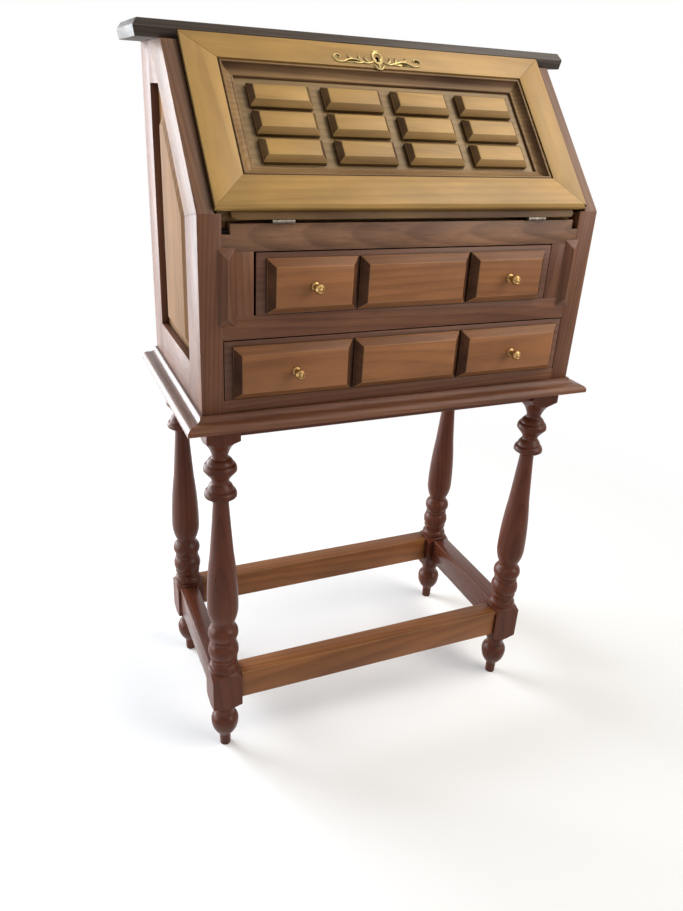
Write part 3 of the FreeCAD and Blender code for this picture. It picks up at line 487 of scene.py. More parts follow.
def boards_of(work):
    """Return the separate solids of a mesh as lists of vertices."""
    boards = []
    seen = set()
    for first in work.verts:
        if first in seen:
            continue
        board = [first]
        seen.add(first)
        for vertex in board:
            for edge in vertex.link_edges:
                other = edge.other_vert(vertex)
                if other not in seen:
                    seen.add(other)
                    board.append(other)
        boards.append(board)
    return boards


# Where a board is cut from its log
LEAST_DEPTH = 35 * MM
MOST_DEPTH = 95 * MM
MOST_SHIFT = 25 * MM
LOG_LENGTH = 4.0
LEAN = 0.04


def lay_grain(piece, name, axes=UPRIGHT, along=None, most_lean=LEAN):
    """Store where each vertex lies in its own board's log, with the log's axis as z.

    The grain runs along the axis of this number, or along a board's longest side.
    """
    work = bmesh.new()
    work.from_mesh(piece.data)
    grain = work.verts.layers.float_vector.new("grain")
    for number, board in enumerate(boards_of(work)):
        luck = random.Random("%s %d" % (name, number))
        spans = []
        for index, axis in enumerate(axes):
            lengths = [vertex.co.dot(axis) for vertex in board]
            spans.append((max(lengths) - min(lengths), index, min(lengths)))
        if along is not None:
            spans.sort(key=lambda span: (span[1] == along, span[0]))
        else:
            spans.sort()
        (_, through, through_start), (_, across, across_start), (_, length, start) = spans
        side = luck.choice((-1, 1))
        depth = luck.uniform(LEAST_DEPTH, MOST_DEPTH)
        shift = luck.uniform(-MOST_SHIFT, MOST_SHIFT)
        lean = luck.choice((-1, 1)) * luck.uniform(0.5, 1.0) * most_lean
        far = luck.uniform(0, LOG_LENGTH)
        for vertex in board:
            x = vertex.co.dot(axes[across]) - across_start + shift
            y = side * (vertex.co.dot(axes[through]) - through_start) + depth
            z = vertex.co.dot(axes[length]) - start
            vertex[grain] = Vector((x, y + lean * z, z + far))
    work.to_mesh(piece.data)
    work.free()


# Painted shade of the faces that lie deeper, and how soon a leaning face takes all of its own stain
GROUND_PAINTED_SHADE = 0.95
BEVEL_GAIN = 1.4
FACING_GAIN = 1.6


def store_stain_and_shade(piece, stain_and_shade_of):
    """Store on each face its stain, with any painted shade, which the function stain_and_shade_of gives."""
    work = bmesh.new()
    work.from_mesh(piece.data)
    # The stain attribute holds real stain and, on some faces, painted shade
    stain = work.faces.layers.float.new("stain")
    for face in work.faces:
        face[stain] = stain_and_shade_of(face)
    work.to_mesh(piece.data)
    work.free()


def stain_edges_and_shade_ground(piece, front, along, ends, sides, deep=math.inf):
    """Stain the ends of the grain and the sides, and paint shade on the ground that lies deep behind the front."""
    across = front.cross(along)
    foremost = max(vertex.co.dot(front) for vertex in piece.data.vertices)

    def stain_and_shade_of(face):
        behind = foremost - face.calc_center_median().dot(front) > deep
        # The deep ground behind the fall's lip gets painted shade
        if behind and face.normal.dot(front) > 0.5:
            return GROUND_PAINTED_SHADE
        end = abs(face.normal.dot(along))
        side = abs(face.normal.dot(across))
        return min(1.0, BEVEL_GAIN * (ends * end + sides * side))

    store_stain_and_shade(piece, stain_and_shade_of)


def paint_shade_facing(piece, amounts):
    """Paint shade on the faces that look in given directions, given as (direction, amount) pairs, through the
    stain attribute.
    """

    def stain_and_shade_of(face):
        return max(min(1.0, FACING_GAIN * max(0.0, face.normal.dot(way))) * amount
                   for way, amount in amounts)

    store_stain_and_shade(piece, stain_and_shade_of)


def finish(piece, node, material=None):
    """Give a finished piece the material of its slot, smooth shading and its body, and hide its CAD node."""
    slot = SLOT_OF[node]
    piece.data.materials.clear()
    piece.data.materials.append(MATERIALS[material or slot])
    take_up(piece)
    bpy.ops.object.shade_smooth_by_angle(angle=CREASE)
    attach(piece, BODY_OF[node])
    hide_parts(node)
    return piece


def dress(node, width=0.6 * MM, least_length=8 * MM, axes=UPRIGHT, along=None, material=None,
          lean=LEAN, stain=None, shape=None):
    """Replace a wooden CAD node by a copy with rounded edges, its own grain and stain, and painted shade on deep
    ground where asked.
    """
    piece = copied(node)
    if shape:
        shape(piece)
    if width:
        soften(piece, width, least_length)
    lay_grain(piece, node, axes, along, lean)
    if stain:
        front = axes[1] if axes is ON_SLOPE else -axes[1]
        stain_edges_and_shade_ground(piece, front, axes[along], *stain)
    return finish(piece, node, material)


# Stain on ends, stain on sides, and how far behind the front the ground with painted shade starts
LIP_DEPTH = 5 * MM
FIELD_STAIN = (1.0, 0.3)
BLOCK_STAIN = (1.0, 0.5)
STILE_STAIN_AND_SHADE = (0.7, 0.5, LIP_DEPTH)
RAIL_STAIN_AND_SHADE = (0.7, 0.1, LIP_DEPTH)
# Painted shade on the moulding's faces turned down the slope and to the left, away from the lamps
MOULDING_PAINTED_SHADE = ((-UP_SLOPE, 0.9), (-ACROSS, 0.9), (UP_SLOPE, 0.1), (OUT_OF_FALL, 0.15))

FOOT_CHAMFER = 3.5 * MM


def chamfer_foot(piece):
    """Chamfer the lowest front edge of the fall, which reads as a lit line under the frame."""
    foremost = max(vertex.co.dot(OUT_OF_FALL) for vertex in piece.data.vertices)
    lowest = min(vertex.co.dot(UP_SLOPE) for vertex in piece.data.vertices
                 if foremost - vertex.co.dot(OUT_OF_FALL) < MERGE)

    def is_foot(edge):
        return all(foremost - vertex.co.dot(OUT_OF_FALL) < MERGE
                   and vertex.co.dot(UP_SLOPE) - lowest < MERGE for vertex in edge.verts)

    open_with_edges(piece, is_foot)
    bpy.ops.mesh.bevel(offset=FOOT_CHAMFER, segments=1, affect="EDGES")
    bpy.ops.object.mode_set(mode="OBJECT")


# Turned work

ARC_STEPS = 7


def arc_points(start, middle, end):
    """Return points along the arc through three points, without its start."""
    (ax, ay), (bx, by), (cx, cy) = start, middle, end
    d = 2 * (ax * (by - cy) + bx * (cy - ay) + cx * (ay - by))
    a2, b2, c2 = ax * ax + ay * ay, bx * bx + by * by, cx * cx + cy * cy
    ux = (a2 * (by - cy) + b2 * (cy - ay) + c2 * (ay - by)) / d
    uy = (a2 * (cx - bx) + b2 * (ax - cx) + c2 * (bx - ax)) / d
    radius = math.hypot(ax - ux, ay - uy)
    first = math.atan2(ay - uy, ax - ux)
    turn_end = (math.atan2(cy - uy, cx - ux) - first) % math.tau
    turn_middle = (math.atan2(by - uy, bx - ux) - first) % math.tau
    if turn_middle > turn_end:
        turn_end -= math.tau
    return [(ux + radius * math.cos(first + turn_end * step / ARC_STEPS),
             uy + radius * math.sin(first + turn_end * step / ARC_STEPS))
            for step in range(1, ARC_STEPS + 1)]


def outline_points(start, rows):
    """Return the points of an outline whose rows end a line, or pass and end an arc."""
    points = [start]
    for row in rows:
        if len(row) == 1:
            points.append(row[0])
        else:
            points += arc_points(points[-1], row[0], row[1])
    return points


def lathe(name, points, steps):
    """Draw a (radius, height) outline by extruding one vertex, and spin it round z."""
    bpy.ops.mesh.primitive_plane_add(size=2 * MM)
    piece = bpy.context.object
    piece.name = name
    bpy.ops.object.mode_set(mode="EDIT")
    bpy.ops.mesh.select_mode(type="VERT")
    bpy.ops.mesh.merge(type="CENTER")
    last = Vector((0, 0, 0))
    for radius, height in points:
        place = Vector((radius, 0, height))
        if place == last:
            continue
        bpy.ops.mesh.extrude_region_move(TRANSFORM_OT_translate={"value": place - last})
        last = place
    merge_all()
    bpy.ops.mesh.select_all(action="SELECT")
    bpy.ops.mesh.spin(steps=steps, angle=math.tau, center=(0, 0, 0), axis=(0, 0, 1))
    merge_all()
    bpy.ops.mesh.select_all(action="SELECT")
    bpy.ops.mesh.normals_make_consistent(inside=False)
    bpy.ops.object.mode_set(mode="OBJECT")
    return piece


def apply_modifier(piece, kind, **settings):
    """Add a modifier of this kind, with these settings, and apply it."""
    take_up(piece)
    modifier = piece.modifiers.new(kind.lower(), kind)
    for name, value in settings.items():
        setattr(modifier, name, value)
    bpy.ops.object.modifier_apply(modifier=modifier.name)


def cut(piece, tool, operation):
    """Cut a piece with a tool and remove the tool."""
    apply_modifier(piece, "BOOLEAN", operation=operation, solver="EXACT", object=tool)
    bpy.data.objects.remove(tool)


# The leg's outline in (radius, height): shares of half the stock and of a turned stretch
FOOT_START_SHARE = 0.36
FOOT_SHARES = [
    [(0.38, 0.19)],
    [(0.40, 0.22), (0.47, 0.25)],
    [(0.80, 0.38), (0.92, 0.53)],
    [(0.86, 0.63), (0.66, 0.69)],
    [(0.62, 0.74), (0.66, 0.80)],
    [(0.84, 0.90), (1.42, 1.00)],
]
LEG_START_SHARE = 0.94
LEG_SHARES = [
    [(0.970, 0.012), (0.900, 0.026)],
    [(0.820, 0.030)],
    [(0.800, 0.038), (0.840, 0.046)],
    [(0.900, 0.056), (0.860, 0.065)],
    [(0.995, 0.092), (0.800, 0.129)],
    [(0.850, 0.139), (0.800, 0.148)],
    [(0.985, 0.176), (0.760, 0.207)],
    [(0.710, 0.218), (0.764, 0.231)],
    [(0.907, 0.256), (0.998, 0.300)],
    [(0.930, 0.421), (0.742, 0.534)],
    [(0.618, 0.629), (0.489, 0.737)],
    [(0.489, 0.753)],
    [(0.978, 0.774)],
    [(0.970, 0.785), (0.890, 0.795)],
    [(0.800, 0.798)],
    [(0.720, 0.812), (0.560, 0.824)],
    [(0.530, 0.834), (0.600, 0.845)],
    [(0.996, 0.874)],
    [(0.985, 0.885), (0.900, 0.896)],
    [(0.810, 0.899)],
    [(0.720, 0.911), (0.530, 0.921)],
    [(0.484, 0.929), (0.516, 0.940)],
    [(0.822, 0.974), (1.420, 1.000)],
]
FOOT_HEIGHT = 90 * MM
BLOCK_HEIGHT = 60 * MM
TOP_BLOCK_HEIGHT = 23 * MM
BLOCK_CHAMFER_SHARE = 0.14
STOCK_EDGE = 1.2 * MM
LEG_STEPS = 96


def turned_leg():
    """Return one leg on the z axis: spun outline, cut by square stock with rounded edges."""
    low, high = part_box("leg_front_left")
    half = (high.x - low.x) / 2
    height = high.z - low.z
    block_top = FOOT_HEIGHT + BLOCK_HEIGHT
    turned_top = height - TOP_BLOCK_HEIGHT
    widest = LEG_SHARES[-1][-1][0] * half

    def sized(rows, start, length):
        return [[(r * half, start + z * length) for r, z in row] for row in rows]

    stretch = turned_top - block_top
    foot_start = (FOOT_START_SHARE * half, 0.0)
    leg_start = (LEG_START_SHARE * half, block_top)
    rows = [[foot_start]] + sized(FOOT_SHARES, 0.0, FOOT_HEIGHT)
    rows.append([(widest, block_top - BLOCK_CHAMFER_SHARE * BLOCK_HEIGHT)])
    rows.append([leg_start])
    rows += sized(LEG_SHARES, block_top, stretch)
    rows += [[(widest, height)], [(0.0, height)]]
    leg = lathe("turned_leg", outline_points((0.0, 0.0), rows), LEG_STEPS)
    bpy.ops.mesh.primitive_cube_add(size=2 * half, location=(0, 0, height / 2))
    stock = bpy.context.object
    stock.scale.z = height / (2 * half)
    bpy.ops.object.transform_apply(location=True, rotation=False, scale=True)
    soften(stock, STOCK_EDGE, height / 2)
    cut(leg, stock, "INTERSECT")
    return leg


def dress_legs():
    """Place a turned leg, with its own mesh and its own grain, at each corner."""
    pattern = turned_leg()
    for node in ("leg_front_left", "leg_front_right", "leg_rear_left", "leg_rear_right"):
        low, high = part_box(node)
        leg = new_object(node + "_finished", pattern.data.copy())
        middle = (low + high) / 2
        leg.data.transform(Matrix.Translation((middle.x, middle.y, 0)))
        lay_grain(leg, node, along=UPWARD)
        finish(leg, node)
    bpy.data.objects.remove(pattern)


# Brass knobs

KNOB_SHARES = [
    [(0.80, 0.00)],
    [(0.82, 0.05), (0.68, 0.08)],
    [(0.52, 0.10)],
    [(0.42, 0.22), (0.50, 0.35)],
    [(0.64, 0.36), (0.64, 0.41)],
    [(0.56, 0.42)],
    [(1.00, 0.68), (0.66, 0.91)],
    [(0.60, 0.93), (0.52, 0.92)],
    [(0.44, 0.90)],
    [(0.36, 0.92), (0.30, 0.95)],
    [(0.16, 0.99), (0.00, 1.00)],
]
KNOB_STEPS = 40
KNOB_RADIUS = 6.5 * MM
KNOB_LENGTH = 20 * MM
STEM_RADIUS = 2.0 * MM
STEM_SIDES = 24
NUT_RADIUS = 5.0 * MM
NUT_THICKNESS = 2.5 * MM
NUT_SIDES = 6
NUT_EDGE = 0.3 * MM


def knob_piece(node):
    """Return a drawer's two knobs, each with its stem and the nut inside the drawer."""
    low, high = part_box(node)
    middle_z = (low.z + high.z) / 2
    rows = [[(r * KNOB_RADIUS, z * KNOB_LENGTH) for r, z in row] for row in KNOB_SHARES]
    towards_front = Matrix.Rotation(math.radians(90), 4, "X")
    face_y = low.y + KNOB_LENGTH
    stem_length = high.y - face_y
    parts = []

    def place(part, x, y):
        part.data.transform(Matrix.Translation((x, y, middle_z)) @ towards_front)
        parts.append(part)

    for x in (low.x + KNOB_RADIUS, high.x - KNOB_RADIUS):
        head = lathe("knob_head", outline_points((0.0, 0.0), rows), KNOB_STEPS)
        place(head, x, face_y)
        bpy.ops.mesh.primitive_cylinder_add(vertices=STEM_SIDES, radius=STEM_RADIUS,
                                            depth=stem_length)
        place(bpy.context.object, x, face_y + stem_length / 2)
        bpy.ops.mesh.primitive_cylinder_add(vertices=NUT_SIDES, radius=NUT_RADIUS,
                                            depth=NUT_THICKNESS)
        nut = bpy.context.object
        soften(nut, NUT_EDGE, NUT_THICKNESS / 2)
        place(nut, x, high.y - NUT_THICKNESS / 2)
    return joined(node + "_finished", parts)


# Lock plate

PLATE_RELIEF = 1.2
PLATE_VOXEL = 0.3 * MM
PLATE_CUT = 0.05 * MM
PLATE_SMOOTHING = 0.02
RING_STEPS = 64
BAR_STEPS = 16
KEY_STEPS = 32
DRILL_LENGTH = 20 * MM
RING_RADIUS_ACROSS = 7.2 * MM
RING_RADIUS_UP = 9.8 * MM
RING_THICKNESS = 1.2 * MM
RING_RISE_SHARE = 0.2
SHIELD_THICKNESS = 0.7 * MM
KEY_RADIUS = 4.9 * MM
KEY_SLOT_WIDTH = 5.4 * MM
KEY_SLOT_LENGTH = 8.0 * MM
KEY_DROP = 1.5 * MM

# Scrolls and leaves of one wing: shares of half the plate's width and height, with the radius
# of the bar in millimetres at each point
SCROLL_SHARES = [
    [(0.12, -0.20, 1.3), (0.22, -0.44, 1.5), (0.36, -0.28, 1.4), (0.52, -0.02, 1.3),
     (0.66, -0.08, 1.3), (0.78, -0.38, 1.4), (0.90, -0.40, 1.4), (0.99, -0.08, 1.3),
     (0.96, 0.26, 1.1), (0.86, 0.34, 1.0), (0.80, 0.14, 0.9), (0.86, 0.04, 0.8)],
    [(0.20, -0.34, 1.4), (0.31, -0.02, 2.2), (0.27, 0.28, 0.8)],
    [(0.36, -0.26, 1.2), (0.45, 0.10, 2.0), (0.40, 0.34, 0.8)],
    [(0.58, -0.04, 1.2), (0.68, 0.12, 2.0), (0.63, 0.36, 0.8)],
    [(0.34, -0.32, 1.2), (0.44, -0.46, 1.8), (0.54, -0.38, 0.8)],
]
CREST_SHARES = [
    [(-0.07, 0.84, 0.9), (0.0, 0.96, 1.3), (0.07, 0.84, 0.9)],
    [(-0.11, -0.50, 1.2), (-0.08, -0.78, 1.4), (0.0, -0.96, 1.3), (0.08, -0.78, 1.4),
     (0.11, -0.50, 1.2)],
    [(0.0, -0.46, 1.4), (0.0, -0.92, 1.4)],
]


def bar(points):
    """Return a smooth tapering bar through (x, y, radius) points, as a mesh."""
    curve = bpy.data.curves.new("scroll", "CURVE")
    curve.dimensions = "3D"
    curve.bevel_depth = 1.0
    curve.bevel_resolution = 4
    curve.resolution_u = 8
    curve.use_fill_caps = True
    spline = curve.splines.new("NURBS")
    spline.points.add(len(points) - 1)
    for point, (x, y, radius) in zip(spline.points, points):
        point.co = (x, y, 0.0, 1.0)
        point.radius = radius * MM
    spline.order_u = 3
    spline.use_endpoint_u = True
    new_object("scroll", curve)
    bpy.ops.object.convert(target="MESH")
    return bpy.context.object


def scrollwork(half_width, half_height):
    """Return the bars of both wings, the crest and the foot."""
    bars = [[(side * x, y, radius) for x, y, radius in scroll]
            for scroll in SCROLL_SHARES for side in (-1, 1)]
    return [bar([(x * half_width, y * half_height, radius) for x, y, radius in points])
            for points in bars + CREST_SHARES]


def oval_shield(rise):
    """Return the oval shield and its rim, this far above the plate's middle."""
    bpy.ops.mesh.primitive_torus_add(major_radius=RING_RADIUS_UP, minor_radius=RING_THICKNESS,
                                     major_segments=RING_STEPS, minor_segments=BAR_STEPS)
    ring = bpy.context.object
    bpy.ops.mesh.primitive_cylinder_add(vertices=RING_STEPS, radius=RING_RADIUS_UP,
                                        depth=2 * SHIELD_THICKNESS)
    shield = bpy.context.object
    for part in (ring, shield):
        part.data.transform(Matrix.Translation((0, rise, 0))
                            @ Matrix.Diagonal((RING_RADIUS_ACROSS / RING_RADIUS_UP, 1, 1, 1)))
    return [ring, shield]


def cast(plate):
    """Fuse the plate's parts into one casting with a flat back and soft edges."""
    plate.data.transform(Matrix.Diagonal((1, 1, PLATE_RELIEF, 1)))
    apply_modifier(plate, "REMESH", mode="VOXEL", voxel_size=PLATE_VOXEL)
    bpy.ops.object.mode_set(mode="EDIT")
    bpy.ops.mesh.select_all(action="SELECT")
    bpy.ops.mesh.bisect(plane_co=(0, 0, PLATE_CUT), plane_no=(0, 0, 1), use_fill=True,
                        clear_inner=True)
    bpy.ops.object.mode_set(mode="OBJECT")
    apply_modifier(plate, "LAPLACIANSMOOTH", iterations=2, lambda_factor=PLATE_SMOOTHING)


def cut_keyhole(plate, key_y):
    """Cut the round of the keyhole, with its middle at this height, and the slot below it."""
    bpy.ops.mesh.primitive_cylinder_add(vertices=KEY_STEPS, radius=KEY_RADIUS,
                                        depth=DRILL_LENGTH, location=(0, key_y, 0))
    hole = bpy.context.object
    bpy.ops.object.transform_apply(location=True)
    cut(plate, hole, "DIFFERENCE")
    bpy.ops.mesh.primitive_cube_add(size=1, location=(0, key_y - KEY_SLOT_LENGTH / 2, 0))
    slot = bpy.context.object
    slot.scale = (KEY_SLOT_WIDTH, KEY_SLOT_LENGTH, DRILL_LENGTH)
    bpy.ops.object.transform_apply(location=True, scale=True)
    cut(plate, slot, "DIFFERENCE")


def lock_plate():
    """Return the cast plate: a keyhole shield in a raised rim, with scrolled leaves."""
    node = "escutcheon"
    spans = [[vertex.co.dot(axis) for vertex in NODES[node].data.vertices] for axis in ON_SLOPE]
    left, face, bottom = (min(span) for span in spans)
    right, _, top = (max(span) for span in spans)
    half_width = (right - left) / 2
    half_height = (top - bottom) / 2
    rise = RING_RISE_SHARE * half_height
    plate = joined(node + "_finished", scrollwork(half_width, half_height) + oval_shield(rise))
    cast(plate)
    cut_keyhole(plate, rise + KEY_DROP)
    place = Matrix((ACROSS, UP_SLOPE, OUT_OF_FALL)).transposed().to_4x4()
    place.translation = (ACROSS * (left + half_width) + UP_SLOPE * (bottom + half_height)
                         + OUT_OF_FALL * face)
    plate.data.transform(place)
    return plate


# Stage

CAMERA_PLACE = (-0.4693, -0.9779, 0.935)
CAMERA_YAW = math.radians(24.352)
CAMERA_PITCH = math.radians(-25.481)
CAMERA_ROLL = math.radians(3.278)
FOCAL_PIXELS = 757.793
PHOTO_HEIGHT = 911
SENSOR = 36.0
CLIP_END = 60.0


def set_camera():
    """Place the camera where the photo was taken from."""
    data = bpy.data.cameras.new("photo_camera")
    camera = new_object("photo_camera", data)
    data.sensor_width = SENSOR
    data.lens = FOCAL_PIXELS / PHOTO_HEIGHT * SENSOR
    data.clip_end = CLIP_END
    forward = Vector((math.sin(CAMERA_YAW) * math.cos(CAMERA_PITCH),
                      math.cos(CAMERA_YAW) * math.cos(CAMERA_PITCH), math.sin(CAMERA_PITCH)))
    level = Vector((math.cos(CAMERA_YAW), -math.sin(CAMERA_YAW), 0))
    upward = level.cross(forward)
    right = level * math.cos(CAMERA_ROLL) + upward * math.sin(CAMERA_ROLL)
    up = upward * math.cos(CAMERA_ROLL) - level * math.sin(CAMERA_ROLL)
    camera.matrix_world = Matrix.Translation(CAMERA_PLACE) @ Matrix(
        (right, up, -forward)).transposed().to_4x4()
    bpy.context.scene.camera = camera


def add_lamp(name, place, aim, size, watts, colour, spread=180):
    """Add a soft square lamp that shines from a place towards a point."""
    data = bpy.data.lights.new(name, "AREA")
    data.shape = "RECTANGLE"
    data.size, data.size_y = size
    data.energy = watts
    data.spread = math.radians(spread)
    data.color = colour
    lamp = new_object(name, data)
    lamp.location = place
    lamp.rotation_euler = (Vector(aim) - Vector(place)).to_track_quat("-Z", "Y").to_euler()


FLOOR_SIZE = 60.0
FLOOR_DROP = 0.5 * MM
FLOOR_TONE = 0.96
FADE_START = 0.35
FADE_END = 1.5


def set_floor():
    """Make the pale floor, which goes over into the white surroundings away from the desk."""
    bpy.ops.mesh.primitive_plane_add(size=FLOOR_SIZE, location=(0, 0, -FLOOR_DROP))
    floor = bpy.context.object
    floor.name = "studio_floor"
    # Matt white paper that keeps the desk's shadow and shines white further off
    material = bpy.data.materials.new("studio_paper")
    tree = cleared_tree(material)
    place = add_node(tree, "ShaderNodeTexCoord").outputs["Object"]
    far = add_node(tree, "ShaderNodeVectorMath", {0: place}, operation="LENGTH")
    fade = ranged(tree, far.outputs["Value"], 0.0, 1.0, FADE_START, FADE_END, "SMOOTHERSTEP")
    seen = add_node(tree, "ShaderNodeLightPath").outputs["Is Camera Ray"]
    paper = add_node(tree, "ShaderNodeBsdfDiffuse", {"Color": grey(FLOOR_TONE)})
    air = add_node(tree, "ShaderNodeEmission", {"Color": grey(1.0), "Strength": 1.0})
    mixed = add_node(tree, "ShaderNodeMixShader",
                     {0: product(tree, fade, seen), 1: paper.outputs["BSDF"],
                      2: air.outputs["Emission"]})
    add_node(tree, "ShaderNodeOutputMaterial", {"Surface": mixed.outputs["Shader"]})
    floor.data.materials.append(material)


AIR_LIGHT = 0.36


def set_air():
    """Make surroundings that look white and light the desk softly."""
    world = bpy.data.worlds.new("studio_air")
    bpy.context.scene.world = world
    tree = cleared_tree(world)
    rays = add_node(tree, "ShaderNodeLightPath").outputs
    direct = add_node(tree, "ShaderNodeMath",
                      {0: rays["Is Camera Ray"], 1: rays["Is Glossy Ray"]}, operation="MAXIMUM")
    shown = add_node(tree, "ShaderNodeMath",
                     {0: direct.outputs["Value"], 1: rays["Is Transmission Ray"]},
                     operation="MAXIMUM")
    strength = ranged(tree, shown.outputs["Value"], AIR_LIGHT, 1.0)
    air = add_node(tree, "ShaderNodeBackground", {"Color": grey(1.0), "Strength": strength})
    add_node(tree, "ShaderNodeOutputWorld", {"Surface": air.outputs["Background"]})


WARM = (1.0, 0.95, 0.87)
COOL = (0.90, 0.95, 1.0)


def set_lamps():
    """Make four soft lamps: two in the room and two for the window at the left."""
    add_lamp("overhead_lamp", place=(1.3, -0.6, 2.3), aim=(0.1, 0, 0.8), size=(1.5, 1.5),
             watts=32, colour=WARM)
    add_lamp("right_front_lamp", place=(1.3, -1.4, 1.35), aim=(0.15, -0.1, 0.75),
             size=(1.2, 1.2), watts=2.9, colour=WARM, spread=60)
    add_lamp("left_rear_window", place=(-1.6, 1.75, 0.95), aim=(-0.25, 0, 0.6),
             size=(1.4, 1.8), watts=90, colour=COOL)
    add_lamp("left_low_window", place=(-1.9, 0.4, 0.5), aim=(-0.28, 0, 0.4),
             size=(0.9, 0.8), watts=16, colour=COOL)


def set_stage():
    """Make the floor, the surroundings and the lamps."""
    set_floor()
    set_air()
    set_lamps()
    bpy.context.scene.view_settings.view_transform = "Standard"


# What a user would change

class DeskSettings(bpy.types.PropertyGroup):
    """Sizes of the rounded edges of the desk, in metres."""

    frame_edge: bpy.props.FloatProperty(
        name="Frame edge", description="Rounding of the case's and fall's edges",
        default=0.6 * MM, min=0.1 * MM, max=2.0 * MM, precision=4, unit="LENGTH")
    block_edge: bpy.props.FloatProperty(
        name="Block edge", description="Rounding of the raised fields and blocks",
        default=0.8 * MM, min=0.1 * MM, max=2.0 * MM, precision=4, unit="LENGTH")
    stretcher_edge: bpy.props.FloatProperty(
        name="Stretcher edge", description="Rounding of the worn stretchers",
        default=1.6 * MM, min=0.1 * MM, max=4.0 * MM, precision=4, unit="LENGTH")


def tone_property(name, description, code):
    """Return a colour property with a hex code as its default."""
    return bpy.props.FloatVectorProperty(name=name, description=description, subtype="COLOR",
                                         default=hex_linear(code)[:3], min=0.0, max=1.0)


class DeskTones(bpy.types.PropertyGroup):
    """Colours of the desk's main finishes."""

    case_tone: tone_property("Case", "Colour of the case's stained chestnut", "#704a35")
    fall_tone: tone_property("Fall", "Colour of the fall's golden beech", "#ad8a4f")
    top_tone: tone_property("Top", "Colour of the dark top board", "#463c34")
    leg_tone: tone_property("Legs", "Colour of the turned legs", "#552b1b")
    brass_tone: tone_property("Brass", "Colour of the worn brass knobs", "#bf9a64")


class DESK_OT_materials(bpy.types.Operator):
    """Make the woods and metals of the desk"""
    bl_idname = "desk.materials"
    bl_label = "Make finishes"

    def execute(self, context):
        MATERIALS.update(make_materials(context.scene.desk_tones))
        return {"FINISHED"}


class DESK_OT_stand(bpy.types.Operator):
    """Finish the legs, stretchers, aprons and board of the stand"""
    bl_idname = "desk.stand"
    bl_label = "Finish the stand"

    def execute(self, context):
        dress_legs()
        edge = context.scene.desk_settings.stretcher_edge
        for node in ("stretcher_front", "stretcher_rear"):
            dress(node, edge)
        # The side stretchers take the legs' darker wood as painted shade
        dress("stretchers_side", edge, material="glossy_shaded_stretcher_wood")
        for node in ("aprons_long", "aprons_side"):
            dress(node)
        dress("stand_board", material="case_wood")
        return {"FINISHED"}


class DESK_OT_case(bpy.types.Operator):
    """Finish the case: sides, rails, posts, mouldings, top and back"""
    bl_idname = "desk.case"
    bl_label = "Finish the case"

    def execute(self, context):
        edge = context.scene.desk_settings.frame_edge
        for side in ("left", "right"):
            for part in ("front_stile", "rear_stile"):
                dress("side_%s_%s" % (side, part), edge, along=UPWARD)
            dress("side_%s_slanted_stile" % side, edge, axes=ON_SLOPE, along=UPWARD,
                  material="figured_wood")
            dress("side_%s_rails" % side, edge, along=FORE_AND_AFT)
            dress("side_%s_panel" % side, edge, along=UPWARD, material="panel_side_wood")
        dress("rail_top", edge, along=CROSSWISE, material="figured_wood", lean=2 * LEAN)
        for node in ("rail_middle", "rail_bottom", "drawer_posts"):
            dress(node, edge)
        dress("planted_strips", edge, along=UPWARD)
        dress("base_moulding_front", width=0)
        dress("base_moulding_sides", width=0, material="glossy_case_wood")
        dress("top_board", width=1.2 * MM)
        dress("back_panel")
        return {"FINISHED"}


class DESK_OT_drawers(bpy.types.Operator):
    """Finish both drawers with their raised fields and brass knobs"""
    bl_idname = "desk.drawers"
    bl_label = "Finish the drawers"

    def execute(self, context):
        settings = context.scene.desk_settings
        for drawer in ("drawer_upper", "drawer_lower"):
            dress(drawer + "_front", settings.frame_edge, along=CROSSWISE,
                  material="ground_wood")
            dress(drawer + "_fields", settings.block_edge, along=CROSSWISE,
                  material="field_wood", stain=FIELD_STAIN)
            dress(drawer + "_box", along=FORE_AND_AFT)
            dress(drawer + "_bottom", width=0.3 * MM)
            finish(knob_piece(drawer + "_knobs"), drawer + "_knobs")
        return {"FINISHED"}


class DESK_OT_fall(bpy.types.Operator):
    """Finish the fall: mitred frame, sunk moulding, panel and blocks"""
    bl_idname = "desk.fall"
    bl_label = "Finish the fall"

    def execute(self, context):
        settings = context.scene.desk_settings
        dress("fall_stiles", settings.frame_edge, least_length=20 * MM, axes=ON_SLOPE,
              along=UPWARD, stain=STILE_STAIN_AND_SHADE)
        dress("fall_rails", settings.frame_edge, least_length=20 * MM, axes=ON_SLOPE,
              along=CROSSWISE, stain=RAIL_STAIN_AND_SHADE, shape=chamfer_foot)
        dress("fall_panel", width=0, axes=ON_SLOPE, along=CROSSWISE, material="panel_wood")
        moulding = dress("fall_moulding", width=0, axes=ON_SLOPE, material="moulding_wood")
        # Painted shade on the moulding's faces that look away from the lamps
        paint_shade_facing(moulding, MOULDING_PAINTED_SHADE)
        dress("fall_blocks", settings.block_edge, least_length=5 * MM, axes=ON_SLOPE,
              along=CROSSWISE, stain=BLOCK_STAIN)
        return {"FINISHED"}


class DESK_OT_lock(bpy.types.Operator):
    """Make the brass lock plate and finish the lock"""
    bl_idname = "desk.lock"
    bl_label = "Make the lock plate"

    def execute(self, context):
        finish(lock_plate(), "escutcheon", "plate_brass")
        for node in ("lock_case", "lock_bolt"):
            piece = copied(node)
            soften(piece, width=0.2 * MM, least_length=2.5 * MM)
            finish(piece, node)
        return {"FINISHED"}


class DESK_OT_ironwork(bpy.types.Operator):
    """Finish the hinges and the slides that carry the open fall"""
    bl_idname = "desk.ironwork"
    bl_label = "Finish hinges and slides"

    def execute(self, context):
        for node in ("hinge_leaves_case", "hinge_leaves_fall"):
            finish(copied(node), node)
        for node in ("support_slide_left", "support_slide_right"):
            piece = copied(node)
            soften(piece, width=0.4 * MM, least_length=5 * MM)
            finish(piece, node, "black_iron")
        return {"FINISHED"}


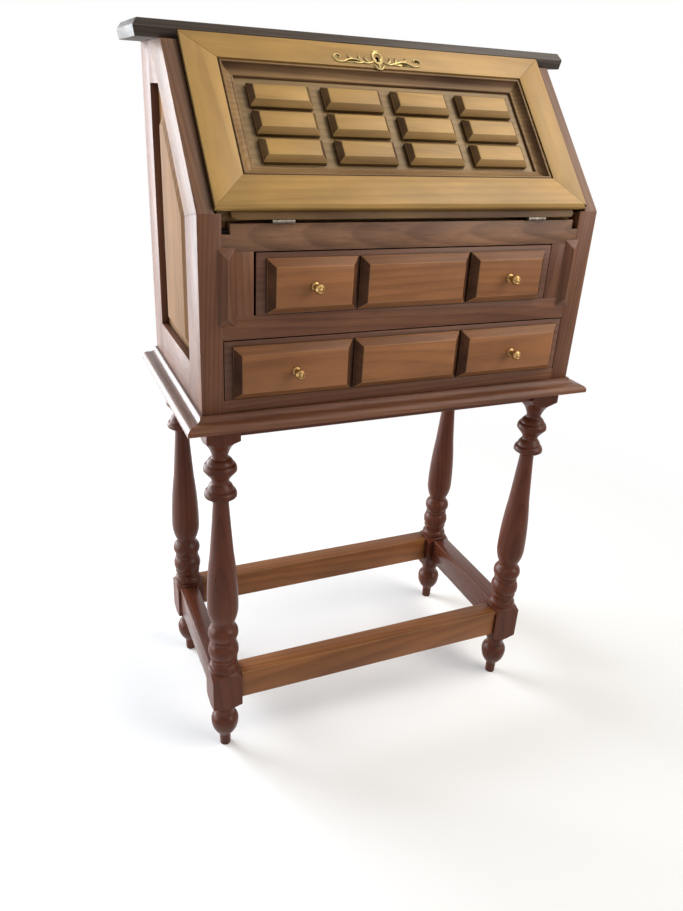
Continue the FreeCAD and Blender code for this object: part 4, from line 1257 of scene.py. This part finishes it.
class DESK_OT_inside(bpy.types.Operator):
    """Finish the boards, gallery and small drawers inside the desk"""
    bl_idname = "desk.inside"
    bl_label = "Finish the inside"

    def execute(self, context):
        for node in ("case_bottom", "dust_board", "desk_floor", "guides", "fall_stop",
                     "gallery", "small_drawer_left", "small_drawer_right"):
            dress(node, width=0.4 * MM, least_length=12 * MM)
        return {"FINISHED"}


class DESK_OT_stage(bpy.types.Operator):
    """Make the floor, lamps and camera"""
    bl_idname = "desk.stage"
    bl_label = "Set the stage"

    def execute(self, context):
        set_stage()
        set_camera()
        return {"FINISHED"}


class DESK_PT_sidebar(bpy.types.Panel):
    """List the desk's sizes and steps in the sidebar"""
    bl_idname = "DESK_PT_sidebar"
    bl_label = "Slant-front desk"
    bl_space_type = "VIEW_3D"
    bl_region_type = "UI"
    bl_category = "Desk"

    def draw(self, context):
        for group in (context.scene.desk_settings, context.scene.desk_tones):
            for name in group.__annotations__:
                self.layout.prop(group, name)
        for step in STEPS:
            self.layout.operator(step.bl_idname)


STEPS = (DESK_OT_materials, DESK_OT_stand, DESK_OT_case, DESK_OT_drawers, DESK_OT_fall,
         DESK_OT_lock, DESK_OT_ironwork, DESK_OT_inside, DESK_OT_stage)
CLASSES = (DeskSettings, DeskTones, *STEPS, DESK_PT_sidebar)


def register():
    """Register the classes and the settings."""
    for item in CLASSES:
        bpy.utils.register_class(item)
    bpy.types.Scene.desk_settings = bpy.props.PointerProperty(type=DeskSettings)
    bpy.types.Scene.desk_tones = bpy.props.PointerProperty(type=DeskTones)


def unregister():
    """Remove the settings and the classes."""
    del bpy.types.Scene.desk_tones
    del bpy.types.Scene.desk_settings
    for item in reversed(CLASSES):
        bpy.utils.unregister_class(item)


def main():
    """Build every finished piece."""
    register()
    bpy.ops.desk.materials()
    bpy.ops.desk.stand()
    bpy.ops.desk.case()
    bpy.ops.desk.drawers()
    bpy.ops.desk.fall()
    bpy.ops.desk.lock()
    bpy.ops.desk.ironwork()
    bpy.ops.desk.inside()
    bpy.ops.desk.stage()


if __name__ == "__main__":
    main()
